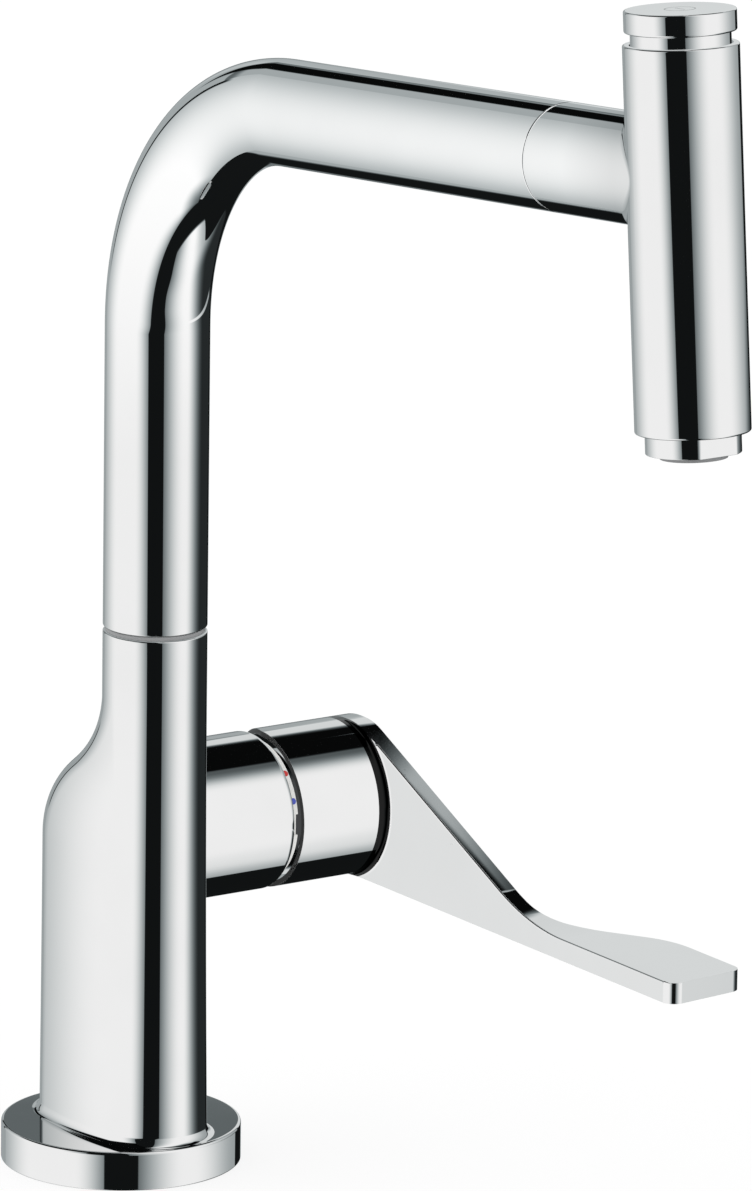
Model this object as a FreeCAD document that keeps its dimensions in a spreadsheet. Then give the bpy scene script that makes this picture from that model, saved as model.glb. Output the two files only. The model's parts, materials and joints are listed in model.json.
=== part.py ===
# Pull-out mixer tap with a swivelling spout, a side lever and a push button on the spray head.
#
# Frame: the origin is the centre of the deck disc on the worktop. +X points to the outlet,
# +Y to the lever's barrel and +Z up. Lengths are in millimetres and angles in degrees.

import FreeCAD
import Part
import Sketcher

import math
import os
import re

# Driving dimensions: every size that can be set by itself, written once.
DIMENSIONS = {
    # how far a cutting tool passes the surface that it opens
    "cut_margin": 1,
    # deck disc and its gasket
    "base_radius": 32.5,
    "base_height": 10.6,
    "base_rounding": 0.8,
    "gasket_outer_radius": 30,
    "gasket_width": 4,
    "gasket_thickness": 1.5,
    # mixer body: an egg-shaped column whose front follows the round neck
    "column_offset": 15,
    "tube_radius": 14,
    "shoulder_top_height": 133.5,
    "shoulder_bottom_height": 88,
    "shoulder_angle": 38.5,
    "rear_distance": 26.65,
    "rear_radius": 15.4,
    "flank_radius": 90,
    "front_foot_spread": 1.1,
    "rear_foot_spread": 0.5,
    "foot_flare": 2,
    "foot_flare_height": 2.6,
    "foot_spread_power": 1.8,
    "least_rear_share": 0.002,
    # bores of the body
    "neck_bore_radius": 12,
    "neck_bore_depth": 28.5,
    "hose_bore_radius": 7,
    "hose_bore_overlap": 3,
    "chamber_radius": 11.3,
    "chamber_top_height": 62,
    # threaded shank and what clamps it under the worktop
    "spigot_radius": 13,
    "spigot_seat_depth": 12,
    "shank_radius": 16,
    "shank_bore_radius": 11.3,
    "thread_radius": 15.5,
    "thread_start": 29,
    "thread_chamfer": 1,
    "shank_length": 50,
    "deck_thickness": 30,
    "rubber_washer_radius": 27,
    "rubber_washer_thickness": 3,
    "steel_washer_radius": 26,
    "steel_washer_thickness": 2.5,
    "nut_radius": 25,
    "nut_height": 8,
    "clamp_screw_radius": 2.5,
    "clamp_screw_circle": 20.5,
    "clamp_screw_head_radius": 4,
    "clamp_screw_head_height": 3.5,
    "clamp_screw_reach": 4,
    # inlet pipes
    "pipe_radius": 3.6,
    "pipe_wall": 1,
    "pipe_setback": 4.6,
    "pipe_spread": 5.6,
    "pipe_seat_depth": 10,
    # hose
    "hose_radius": 4.5,
    "hose_wall": 1.5,
    "hose_clearance": 0.3,
    "hose_shank_offset": 6.5,
    "hose_shift_top_height": 66,
    "hose_shift_bottom_height": 38,
    "hose_guide_drop": 10,
    "hose_guide_length": 10,
    "hose_front_length": 52,
    # swivel joint
    "swivel_gap": 1.5,
    "running_clearance": 0.05,
    "part_clearance": 0.3,
    "swivel_bush_wall": 2,
    "swivel_bush_length": 22.5,
    "swivel_ring_recess": 0.6,
    "spigot_upper_length": 20,
    "spigot_tip_length": 1,
    "o_ring_section": 0.8,
    "o_ring_start": 6,
    "o_ring_pitch": 9,
    "circlip_thickness": 1.2,
    "circlip_depth": 1.05,
    "circlip_radius": 11.2,
    # spout tube
    "tube_wall": 2,
    "spout_axis_height": 296.7,
    "spout_rise": 5,
    "bend_radius": 68,
    "spout_length": 188.5,
    "end_bush_length": 28,
    "end_bush_wall": 1.5,
    # spray head
    "spray_reach": 238.7,
    "spray_radius": 14.5,
    "spray_top": 33,
    "spray_bottom": 63.5,
    "spray_rounding": 0.5,
    "spray_blend": 3.5,
    "spray_wall": 1.7,
    "button_well_depth": 17,
    "valve_bore_radius": 12,
    "valve_top": 12,
    "valve_bottom": 48,
    "valve_pin_depth": 22,
    "docking_wall": 3,
    "docking_engagement": 28,
    "docking_inner_reach": 20,
    "hose_nut_length": 15,
    "hose_nut_entry": 8,
    "hose_nut_floor": 2,
    "collar_bottom": 68.7,
    "collar_thread_length": 13.5,
    "collar_flat_width": 21.6,
    "aerator_radius": 8.5,
    "aerator_bottom": 70,
    "aerator_height": 14,
    "aerator_floor": 1.6,
    "aerator_rim": 1,
    "aerator_hole_radius": 0.6,
    "aerator_hole_pitch": 1.9,
    "seal_thickness": 2,
    "seal_inner_radius": 8,
    # push button on the head
    "button_radius": 14,
    "button_height": 5.5,
    "button_gap": 3,
    "button_neck_radius": 12.5,
    "button_neck_length": 7,
    "button_wall": 1.6,
    "button_rounding": 0.5,
    "stem_radius": 2.5,
    "stem_entry": 6,
    "stem_flange_radius": 5,
    "stem_flange_thickness": 1.5,
    "spring_coil_radius": 3.9,
    "spring_wire_radius": 0.45,
    "spring_turns": 7,
    "spring_free_space": 2.9,
    # barrel on the body's side
    "barrel_offset": 0,
    "barrel_height": 91.4,
    "neck_rise": 59.1,
    "barrel_radius": 21.6,
    "barrel_start": 2,
    "barrel_end": 41.8,
    "barrel_rounding": 1.8,
    "cavity_radius": 18.3,
    "cavity_floor": 18.4,
    # cartridge
    "seal_ring_section": 0.8,
    "port_radius": 2.6,
    "port_circle": 7,
    "cartridge_radius": 17.5,
    "cartridge_wall": 2.5,
    "cartridge_floor": 2,
    "cartridge_length": 16.3,
    "fixed_disc_radius": 13.5,
    "fixed_disc_thickness": 3,
    "moving_disc_radius": 10.5,
    "moving_disc_thickness": 3.4,
    "disc_clearance": 0.05,
    "rotor_neck_radius": 10.5,
    "rotor_neck_length": 4.3,
    "rotor_slot_front": 6.6,
    "rotor_slot_rear": 7.4,
    "pivot_distance": 33.8,
    "pivot_pin_radius": 1.5,
    "pivot_pin_length": 20,
    "cartridge_nut_height": 4.5,
    "cartridge_nut_bore": 11.2,
    "cartridge_nut_chamfer": 0.5,
    # dome, indicator ring and marks between the barrel and the lever's cap
    "dome_lip": 0.9,
    "dome_radius": 16.9,
    "dome_wall": 1.5,
    "dome_reach": 21.3,
    "dome_hole_radius": 10.4,
    "indicator_radius": 19.2,
    "indicator_height": 2,
    "indicator_clearance": 0.1,
    "indicator_notch_width": 5.8,
    "indicator_notch_depth": 1.2,
    "indicator_notch_floor": 0.5,
    "indicator_notch_angle": -0.5,
    "mark_radius": 0.85,
    "mark_depth": 0.5,
    "mark_proud": 0.08,
    "hot_mark_angle": 43,
    "cold_mark_angle": 19,
    # lever handle
    "cap_gap": 2.4,
    "cap_wall": 1.5,
    "cap_end_wall": 5,
    "cap_relief_angle": 15.5,
    "blade_start": 71.6,
    "blade_thickness": 5,
    "blade_slope": 24.4,
    "blade_lift": 0.7,
    "blade_crest_fillet": 20,
    "blade_root_fillet": 1.8,
    "lever_reach": 154.4,
    "paddle_thickness": 5.8,
    "paddle_tip_thickness": 5.7,
    "paddle_blend_radius": 71,
    "paddle_width": 24.7,
    "paddle_flare_start": 88.5,
    "paddle_flare_angle": 31.8,
    "paddle_flare_fillet": 28,
    "paddle_shoulder_fillet": 27,
    "paddle_tip_skew": 6,
    "paddle_tip_fillet": 3.5,
    "stem_width": 8,
    "stem_end": 62.8,
    "stem_start": 30.2,
    "stem_tip_radius": 2.5,
    "stem_tip_entry": 1.6,
    "stem_tip_clearance": 0.75,
    "socket_boss_radius": 7.5,
    "socket_start": 55.8,
    "grub_distance": 59.8,
    "grub_radius": 2.5,
    "plug_radius": 3.1,
    "plug_recess": 0.3,
}

# Places of the sub-frames: each is a point and a turn about the Y axis, or the barrel's turn.
COLUMN_PLACE = "placement(vector(column_offset; 0; 0); rotation(vector(0; 1; 0); 0))"
BARREL_PLACE = "placement(vector(barrel_offset; 0; barrel_height); rotation(vector(1; 0; 0); -90))"
SPOUT_PLACE = (
    "placement(vector(column_offset; 0; spout_axis_height); "
    "rotation(vector(0; 1; 0); 90 - spout_rise))"
)
HEAD_PLACE = (
    "placement(vector(column_offset + spray_reach * cos(spout_rise); 0; "
    "spout_axis_height + spray_reach * sin(spout_rise)); rotation(vector(0; 1; 0); -spout_rise))"
)

BEND_TANGENT = "bend_radius * tan((90 - spout_rise) / 2)"
BODY_TOP = "barrel_height + neck_rise"

# How closely a point has to match a computed place when an edge is looked up.
NEAR = 0.01

doc = FreeCAD.newDocument("MixerTap")
sheet = doc.addObject("Spreadsheet::Sheet", "Sizes")
for row, (alias, value) in enumerate(DIMENSIONS.items(), start=1):
    sheet.set(f"A{row}", alias)
    sheet.set(f"B{row}", str(value))
    sheet.setAlias(f"B{row}", alias)
doc.recompute()

WORD = re.compile(r"[a-z_]+")
pieces = {}


def sheet_name(word):
    """Write a matched word as a cell of the sheet if it names a driving dimension."""
    name = word.group()
    return "Sizes." + name if name in DIMENSIONS else name


def bound(text):
    """Write a formula of driving dimensions as an expression on the sheet."""
    return WORD.sub(sheet_name, text)


def size(alias):
    """Read one driving dimension from the sheet."""
    return float(sheet.get(alias))


def keep(name, shape_object):
    """Name an object as a sub-part of the tap."""
    shape_object.Label = name
    pieces[name] = shape_object
    return shape_object


def place(shape_object, formula):
    """Bind an object's whole placement to a formula."""
    shape_object.setExpression("Placement", bound(formula))
    return shape_object


def origin_plane(body, role):
    """Find one of a body's own origin planes."""
    return [feature for feature in body.Origin.OriginFeatures if feature.Role == role][0]


def attached_sketch(body, name, role, offset="0"):
    """Add an empty sketch on an origin plane, moved along the plane's normal."""
    sketch = body.newObject("Sketcher::SketchObject", name)
    sketch.AttachmentSupport = [(origin_plane(body, role), "")]
    sketch.MapMode = "FlatFace"
    if offset != "0":
        sketch.setExpression("AttachmentOffset.Base.z", bound(offset))
    return sketch


def add_polygon(sketch, outline):
    """Draw a closed polygon whose corners are pairs of formulas."""
    first = sketch.GeometryCount
    count = len(outline)
    start = [FreeCAD.Vector(10 * index + 1, 7 * (index % 3) + index, 0) for index in range(count)]
    sides = [Part.LineSegment(start[index], start[(index + 1) % count]) for index in range(count)]
    sketch.addGeometry(sides, False)
    joins = [
        Sketcher.Constraint("Coincident", first + index, 2, first + (index + 1) % count, 1)
        for index in range(count)
    ]
    sketch.addConstraint(joins)
    for index, corner in enumerate(outline):
        for kind, text, axis in zip(("DistanceX", "DistanceY"), corner, (-2, -1)):
            if text == "0":
                sketch.addConstraint(Sketcher.Constraint("PointOnObject", first + index, 1, axis))
                continue
            position = sketch.addConstraint(Sketcher.Constraint(kind, -1, 1, first + index, 1, 1.0 + index))
            sketch.setExpression(f"Constraints[{position}]", bound(text))


def add_circle(sketch, centre, radius):
    """Draw a circle whose centre and radius are formulas."""
    ring = sketch.addGeometry(Part.Circle(FreeCAD.Vector(1, 1, 0), FreeCAD.Vector(0, 0, 1), 1), False)
    for kind, text, axis in zip(("DistanceX", "DistanceY"), centre, (-2, -1)):
        if text == "0":
            sketch.addConstraint(Sketcher.Constraint("PointOnObject", ring, 3, axis))
            continue
        position = sketch.addConstraint(Sketcher.Constraint(kind, -1, 1, ring, 3, 1.0))
        sketch.setExpression(f"Constraints[{position}]", bound(text))
    position = sketch.addConstraint(Sketcher.Constraint("Radius", ring, 1.0))
    sketch.setExpression(f"Constraints[{position}]", bound(radius))


def turned(name, outline, formula):
    """Turn a polygon of (radius, height) corners about its own Z axis."""
    body = doc.addObject("PartDesign::Body", name)
    sketch = attached_sketch(body, name + "_outline", "XZ_Plane")
    add_polygon(sketch, outline)
    turn = body.newObject("PartDesign::Revolution", name + "_turn")
    turn.Profile = sketch
    turn.ReferenceAxis = (sketch, ["V_Axis"])
    turn.Angle = 360
    return place(body, formula)


def round_rims(body, rims):
    """Round circular edges, each given by a radius, a height and a rounding in the body's own frame."""
    doc.recompute()
    for number, (radius, height, rounding) in enumerate(rims):
        names = []
        base = body.Tip
        for index, edge in enumerate(base.Shape.Edges, start=1):
            curve = edge.Curve
            if not isinstance(curve, Part.Circle):
                continue
            if abs(curve.Radius - radius) < NEAR and abs(curve.Center.z - height) < NEAR:
                names.append(f"Edge{index}")
        fillet = body.newObject("PartDesign::Fillet", f"{body.Name}_rounding_{number}")
        fillet.Base = (base, names)
        fillet.setExpression("Radius", bound(rounding))
        body.Tip = fillet
        doc.recompute()
    return body


def cylinder(name, radius, height, formula):
    """Make a cylinder that starts at its place and runs along its own Z axis."""
    rod = doc.addObject("Part::Cylinder", name)
    rod.setExpression("Radius", bound(radius))
    rod.setExpression("Height", bound(height))
    return place(rod, formula)


def fused(name, members):
    """Join objects into one solid."""
    union = doc.addObject("Part::MultiFuse", name)
    union.Shapes = members
    union.Refine = True
    return union


def cut(name, base, tools):
    """Take one or more objects out of a base."""
    tool = tools[0]
    if len(tools) > 1:
        tool = doc.addObject("Part::MultiFuse", name + "_tools")
        tool.Shapes = tools
    difference = doc.addObject("Part::Cut", name)
    difference.Base = base
    difference.Tool = tool
    difference.Refine = True
    return difference


def upright(x, y, z):
    """Write an unturned place in the tap's frame."""
    return f"placement(vector({x}; {y}; {z}); rotation(vector(0; 0; 1); 0))"


def along_spout(distance, turn="90 - spout_rise"):
    """Write a place on the spout's axis, with the piece's Z axis along the spout."""
    return (
        f"placement(vector(column_offset + ({distance}) * cos(spout_rise); 0; "
        f"spout_axis_height + ({distance}) * sin(spout_rise)); rotation(vector(0; 1; 0); {turn}))"
    )


def bent_rod(name, radius, start_height, end_distance):
    """Make a rod that follows the spout: up the column, round the bend and along the spout."""
    riser = cylinder(
        name + "_riser",
        radius,
        f"spout_axis_height - {BEND_TANGENT} - ({start_height})",
        upright("column_offset", "0", start_height),
    )
    bend = doc.addObject("Part::Torus", name + "_bend")
    bend.setExpression("Radius1", bound("bend_radius"))
    bend.setExpression("Radius2", bound(radius))
    bend.setExpression("Angle3", bound("90 - spout_rise"))
    place(
        bend,
        f"placement(vector(column_offset + bend_radius; 0; spout_axis_height - {BEND_TANGENT}); "
        "rotation(vector(0; 1; 1); 180))",
    )
    arm = cylinder(name + "_arm", radius, f"({end_distance}) - {BEND_TANGENT}", along_spout(BEND_TANGENT))
    return fused(name, [riser, bend, arm])


# Deck disc: a rounded disc with a groove for its gasket and a hole for the shank's spigot.
disc = turned(
    "base_disc",
    [
        ("spigot_radius + part_clearance", "0"),
        ("gasket_outer_radius - gasket_width", "0"),
        ("gasket_outer_radius - gasket_width", "gasket_thickness"),
        ("gasket_outer_radius", "gasket_thickness"),
        ("gasket_outer_radius", "0"),
        ("base_radius", "0"),
        ("base_radius", "base_height"),
        ("spigot_radius + part_clearance", "base_height"),
    ],
    upright("0", "0", "0"),
)
keep("base_disc", disc)
round_rims(disc, [(size("base_radius"), size("base_height"), "base_rounding")])

keep(
    "deck_gasket",
    turned(
        "deck_gasket",
        [
            ("gasket_outer_radius - gasket_width", "0"),
            ("gasket_outer_radius", "0"),
            ("gasket_outer_radius", "gasket_thickness"),
            ("gasket_outer_radius - gasket_width", "gasket_thickness"),
        ],
        upright("0", "0", "0"),
    ),
)


# Mixer body: the plan is an egg of four arcs, front, two flanks and rear, about the column's axis.
def egg_section(front_radius, rear_radius, rear_distance, height):
    """Draw the egg at one height, its small front circle on the column's axis."""
    flank = size("flank_radius")
    growth = (size("rear_radius") - size("tube_radius")) / size("rear_distance")
    if rear_distance > 1:
        growth = (rear_radius - front_radius) / rear_distance
    flank_x = -(growth * (2 * flank - front_radius - rear_radius) + rear_distance) / 2
    flank_y = math.sqrt((flank - front_radius) ** 2 - flank_x ** 2)

    def tangent_point(centre_x, side):
        """Point where a flank arc touches the circle about (centre_x, 0)."""
        reach = math.hypot(centre_x - flank_x, flank_y)
        return FreeCAD.Vector(
            flank_x + flank * (centre_x - flank_x) / reach,
            side * (flank * flank_y / reach - flank_y),
            height,
        )

    front_left = tangent_point(0, 1)
    front_right = tangent_point(0, -1)
    rear_left = tangent_point(-rear_distance, 1)
    rear_right = tangent_point(-rear_distance, -1)
    front_tip = FreeCAD.Vector(front_radius, 0, height)
    rear_tip = FreeCAD.Vector(-rear_distance - rear_radius, 0, height)
    middle = (front_left.x + rear_left.x) / 2
    bulge = math.sqrt(flank ** 2 - (middle - flank_x) ** 2) - flank_y
    arcs = [
        Part.Arc(front_right, front_tip, front_left),
        Part.Arc(front_left, FreeCAD.Vector(middle, bulge, height), rear_left),
        Part.Arc(rear_left, rear_tip, rear_right),
        Part.Arc(rear_right, FreeCAD.Vector(middle, -bulge, height), front_right),
    ]
    return Part.Wire([arc.toShape() for arc in arcs])


def shoulder_share(height):
    """Share of the rear lobe present at a height: two equal tangent arcs make the shoulder's S."""
    top = size("shoulder_top_height")
    rise = top - size("shoulder_bottom_height")
    arc = math.radians(size("shoulder_angle"))
    radius = rise / (2 * math.sin(arc))
    shift = 2 * radius * (1 - math.cos(arc))
    drop = min(max(top - height, 0), rise)
    if drop <= rise / 2:
        return (radius - math.sqrt(radius ** 2 - drop ** 2)) / shift
    return 1 - (radius - math.sqrt(radius ** 2 - (rise - drop) ** 2)) / shift


def body_section(height):
    """Egg of the body at a height, with the shoulder, the spreading foot and its flare."""
    share = max(shoulder_share(height), size("least_rear_share"))
    top = size("shoulder_top_height")
    foot = size("base_height")
    spread = (max(top - max(height, foot), 0) / (top - foot)) ** size("foot_spread_power")
    lift = min(max(height - foot, 0) / size("foot_flare_height"), 1)
    flare = size("foot_flare") * (1 - math.sqrt(1 - (1 - lift) ** 2)) if lift < 1 else 0
    front = size("tube_radius") + spread * size("front_foot_spread") + flare
    rear_growth = (size("rear_radius") - size("tube_radius")) * share
    rear = size("tube_radius") + rear_growth + spread * size("rear_foot_spread") * share + flare
    return egg_section(front, rear, size("rear_distance") * share, height)


def lofted(bottom, top, steps):
    """Loft the body smoothly through sections that divide a stretch into equal steps."""
    heights = [bottom + (top - bottom) * step / steps for step in range(steps + 1)]
    return Part.makeLoft([body_section(height) for height in heights], True, False)


foot_height = size("base_height")
shoulder_bottom = size("shoulder_bottom_height")
shoulder_top = size("shoulder_top_height")
flare_top = foot_height + size("foot_flare_height")
body_top = size("barrel_height") + size("neck_rise")
foot_form = lofted(foot_height, flare_top, 4)
column_form = lofted(flare_top, shoulder_bottom, 3)
shoulder_form = lofted(shoulder_bottom, shoulder_top, 10)
neck_form = Part.makeLoft([body_section(shoulder_top), body_section(body_top)], True, True)
body_form = doc.addObject("Part::Feature", "body_form")
body_form.Shape = foot_form.fuse(column_form).fuse(shoulder_form).fuse(neck_form).removeSplitter()
place(body_form, COLUMN_PLACE)

barrel = turned(
    "barrel_form",
    [
        ("0", "barrel_start"),
        ("barrel_radius", "barrel_start"),
        ("barrel_radius", "barrel_end"),
        ("0", "barrel_end"),
    ],
    BARREL_PLACE,
)
round_rims(barrel, [(size("barrel_radius"), size("barrel_end"), "barrel_rounding")])

# Bores of the body: the neck, the hose's way down, the chamber over the shank and the cavity.
NECK_BORE_FLOOR = BODY_TOP + " - neck_bore_depth"
body_bores = [
    cylinder(
        "neck_bore",
        "neck_bore_radius",
        "neck_bore_depth",
        upright("column_offset", "0", NECK_BORE_FLOOR),
    ),
    cylinder(
        "hose_bore",
        "hose_bore_radius",
        f"{BODY_TOP} - hose_shift_bottom_height + hose_bore_overlap",
        upright("column_offset", "0", "hose_shift_bottom_height - hose_bore_overlap"),
    ),
    cylinder(
        "chamber",
        "chamber_radius",
        "chamber_top_height - base_height",
        upright("0", "0", "base_height"),
    ),
    cylinder("spigot_seat", "spigot_radius", "spigot_seat_depth", upright("0", "0", "base_height")),
    cylinder("cavity", "cavity_radius", "barrel_end - cavity_floor", BARREL_PLACE),
]
place(
    body_bores[-1],
    "placement(vector(barrel_offset; cavity_floor; barrel_height); rotation(vector(1; 0; 0); -90))",
)
for side in (1, -1):
    body_bores.append(
        cylinder(
            "pipe_socket",
            "pipe_radius",
            "pipe_seat_depth + cut_margin",
            upright("-pipe_setback", f"{side} * pipe_spread", "chamber_top_height - cut_margin"),
        )
    )
keep("mixer_body", cut("mixer_body", fused("body_casting", [body_form, barrel]), body_bores))

# Shank: a threaded tube under the disc whose spigot screws into the body.
keep(
    "threaded_shank",
    turned(
        "threaded_shank",
        [
            ("shank_bore_radius", "-shank_length"),
            ("thread_radius - thread_chamfer", "-shank_length"),
            ("thread_radius", "thread_chamfer - shank_length"),
            ("thread_radius", "-thread_start"),
            ("shank_radius", "-thread_start"),
            ("shank_radius", "0"),
            ("spigot_radius", "0"),
            ("spigot_radius", "base_height + spigot_seat_depth"),
            ("shank_bore_radius", "base_height + spigot_seat_depth"),
        ],
        upright("0", "0", "0"),
    ),
)


def deck_ring(name, inner, outer, top, bottom):
    """Make a flat ring on the shank, between two depths under the worktop's face."""
    outline = [(inner, f"-({bottom})"), (outer, f"-({bottom})"), (outer, f"-({top})"), (inner, f"-({top})")]
    return keep(name, turned(name, outline, upright("0", "0", "0")))


RUBBER_BOTTOM = "deck_thickness + rubber_washer_thickness"
STEEL_BOTTOM = RUBBER_BOTTOM + " + steel_washer_thickness"
NUT_BOTTOM = STEEL_BOTTOM + " + nut_height"
deck_ring("rubber_washer", "thread_radius", "rubber_washer_radius", "deck_thickness", RUBBER_BOTTOM)
deck_ring("steel_washer", "thread_radius", "steel_washer_radius", RUBBER_BOTTOM, STEEL_BOTTOM)
nut_blank = turned(
    "nut_blank",
    [
        ("thread_radius", f"-({NUT_BOTTOM})"),
        ("nut_radius", f"-({NUT_BOTTOM})"),
        ("nut_radius", f"-({STEEL_BOTTOM})"),
        ("thread_radius", f"-({STEEL_BOTTOM})"),
    ],
    upright("0", "0", "0"),
)
screws = []
screw_holes = []
for number in range(3):
    spot_x = f"clamp_screw_circle * cos({120 * number})"
    spot_y = f"clamp_screw_circle * sin({120 * number})"
    shaft_base = upright(spot_x, spot_y, f"-({NUT_BOTTOM}) - clamp_screw_reach")
    shaft = cylinder(
        f"clamp_shaft_{number}", "clamp_screw_radius", "nut_height + clamp_screw_reach", shaft_base
    )
    head = doc.addObject("Part::Prism", f"clamp_head_{number}")
    head.Polygon = 6
    head.setExpression("Circumradius", bound("clamp_screw_head_radius"))
    head.setExpression("Height", bound("clamp_screw_head_height"))
    place(head, upright(spot_x, spot_y, f"-({NUT_BOTTOM}) - clamp_screw_reach - clamp_screw_head_height"))
    screws.append(fused(f"clamp_screw_{number}", [shaft, head]))
    hole_base = upright(spot_x, spot_y, f"-({NUT_BOTTOM})")
    screw_holes.append(cylinder(f"screw_hole_{number}", "clamp_screw_radius", "nut_height", hole_base))
keep("fixing_nut", cut("fixing_nut", nut_blank, screw_holes))
screw_set = doc.addObject("Part::Compound", "clamp_screws")
screw_set.Links = screws
keep("clamp_screws", screw_set)

# Inlet pipes: short tails from the body's sockets to the shank's mouth, hot on the user's left.
for name, side in (("hot_inlet_pipe", -1), ("cold_inlet_pipe", 1)):
    length = "shank_length + chamber_top_height + pipe_seat_depth"
    spot = upright("-pipe_setback", f"{side} * pipe_spread", "-shank_length")
    pipe = cylinder(name + "_outside", "pipe_radius", length, spot)
    pipe_bore = cylinder(name + "_bore", "pipe_radius - pipe_wall", length, spot)
    keep(name, cut(name, pipe, [pipe_bore]))


# Lower hose: down the column, an S of two arcs to the shank's bore, and down to its mouth.
def lower_hose(radius):
    """Sweep a round section along the lower hose's line."""
    top = body_top - size("neck_bore_depth") + size("part_clearance")
    shift_top = size("hose_shift_top_height")
    shift_bottom = size("hose_shift_bottom_height")
    inner_x = size("hose_shank_offset")
    outer_x = size("column_offset")
    half_angle = math.atan2(outer_x - inner_x, shift_top - shift_bottom)
    bend = (shift_top - shift_bottom) / (2 * math.sin(2 * half_angle))
    middle = FreeCAD.Vector((inner_x + outer_x) / 2, 0, (shift_top + shift_bottom) / 2)
    across = bend * (1 - math.cos(half_angle))
    down = bend * math.sin(half_angle)
    upper_start = FreeCAD.Vector(outer_x, 0, shift_top)
    lower_end = FreeCAD.Vector(inner_x, 0, shift_bottom)
    line = [
        Part.LineSegment(FreeCAD.Vector(outer_x, 0, top), upper_start),
        Part.Arc(upper_start, FreeCAD.Vector(outer_x - across, 0, shift_top - down), middle),
        Part.Arc(middle, FreeCAD.Vector(inner_x + across, 0, shift_bottom + down), lower_end),
        Part.LineSegment(lower_end, FreeCAD.Vector(inner_x, 0, -size("shank_length"))),
    ]
    path = Part.Wire([step.toShape() for step in line])
    ring = Part.Wire([Part.makeCircle(radius, FreeCAD.Vector(outer_x, 0, top), FreeCAD.Vector(0, 0, -1))])
    return path.makePipeShell([ring], True, False)


hose = doc.addObject("Part::Feature", "hose_lower")
hose.Shape = lower_hose(size("hose_radius")).cut(lower_hose(size("hose_radius") - size("hose_wall")))
hose.Placement = FreeCAD.Placement()
keep("hose_lower", hose)

GUIDE_TOP = NECK_BORE_FLOOR + " - hose_guide_drop"
keep(
    "hose_guide",
    turned(
        "hose_guide",
        [
            ("hose_radius + hose_clearance", f"{GUIDE_TOP} - hose_guide_length"),
            ("hose_bore_radius", f"{GUIDE_TOP} - hose_guide_length"),
            ("hose_bore_radius", GUIDE_TOP),
            ("hose_radius + hose_clearance", GUIDE_TOP),
        ],
        COLUMN_PLACE,
    ),
)

# Swivel joint: a plastic bush in the neck, a ring in the visible groove, and the spout's spigot.
BUSH_BORE = "neck_bore_radius - swivel_bush_wall"
BUSH_BOTTOM = BODY_TOP + " - swivel_bush_length"
SPOUT_START = BODY_TOP + " + swivel_gap"
keep(
    "swivel_bush",
    turned(
        "swivel_bush",
        [
            (BUSH_BORE, BUSH_BOTTOM),
            ("neck_bore_radius", BUSH_BOTTOM),
            ("neck_bore_radius", BODY_TOP),
            (BUSH_BORE, BODY_TOP),
        ],
        COLUMN_PLACE,
    ),
)
keep(
    "body_top_ring",
    turned(
        "body_top_ring",
        [
            ("neck_bore_radius", BODY_TOP),
            ("tube_radius - swivel_ring_recess", BODY_TOP),
            ("tube_radius - swivel_ring_recess", f"{SPOUT_START} - part_clearance"),
            ("neck_bore_radius", f"{SPOUT_START} - part_clearance"),
        ],
        COLUMN_PLACE,
    ),
)
CLIP_TOP = BUSH_BOTTOM + " - part_clearance"
CLIP_BOTTOM = CLIP_TOP + " - circlip_thickness"
SPIGOT_BOTTOM = CLIP_BOTTOM + " - spigot_tip_length"
SPIGOT_BORE = "hose_radius + hose_clearance"
SWIVEL_SHAFT = BUSH_BORE + " - running_clearance"
CLIP_GROOVE = SWIVEL_SHAFT + " - circlip_depth"
RING_GROOVE = SWIVEL_SHAFT + " - 2 * o_ring_section"
RING_HEIGHTS = [BUSH_BOTTOM + " + o_ring_start", BUSH_BOTTOM + " + o_ring_start + o_ring_pitch"]
spigot_outline = [
    (SPIGOT_BORE, SPIGOT_BOTTOM),
    (SWIVEL_SHAFT, SPIGOT_BOTTOM),
    (SWIVEL_SHAFT, CLIP_BOTTOM),
    (CLIP_GROOVE, CLIP_BOTTOM),
    (CLIP_GROOVE, CLIP_TOP),
    (SWIVEL_SHAFT, CLIP_TOP),
]
for ring_height in RING_HEIGHTS:
    spigot_outline += [
        (SWIVEL_SHAFT, f"{ring_height} - o_ring_section"),
        (RING_GROOVE, f"{ring_height} - o_ring_section"),
        (RING_GROOVE, f"{ring_height} + o_ring_section"),
        (SWIVEL_SHAFT, f"{ring_height} + o_ring_section"),
    ]
spigot_outline += [
    (SWIVEL_SHAFT, SPOUT_START),
    ("tube_radius - tube_wall", SPOUT_START),
    ("tube_radius - tube_wall", f"{SPOUT_START} + spigot_upper_length"),
    (SPIGOT_BORE, f"{SPOUT_START} + spigot_upper_length"),
]
keep("swivel_spigot", turned("swivel_spigot", spigot_outline, COLUMN_PLACE))

o_rings = []
for number, ring_height in enumerate(RING_HEIGHTS):
    ring = doc.addObject("Part::Torus", f"spout_o_ring_{number}")
    ring.setExpression("Radius1", bound(f"{SWIVEL_SHAFT} - o_ring_section"))
    ring.setExpression("Radius2", bound("o_ring_section"))
    place(ring, upright("column_offset", "0", ring_height))
    o_rings.append(ring)
ring_set = doc.addObject("Part::Compound", "spout_o_rings")
ring_set.Links = o_rings
keep("spout_o_rings", ring_set)

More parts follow.
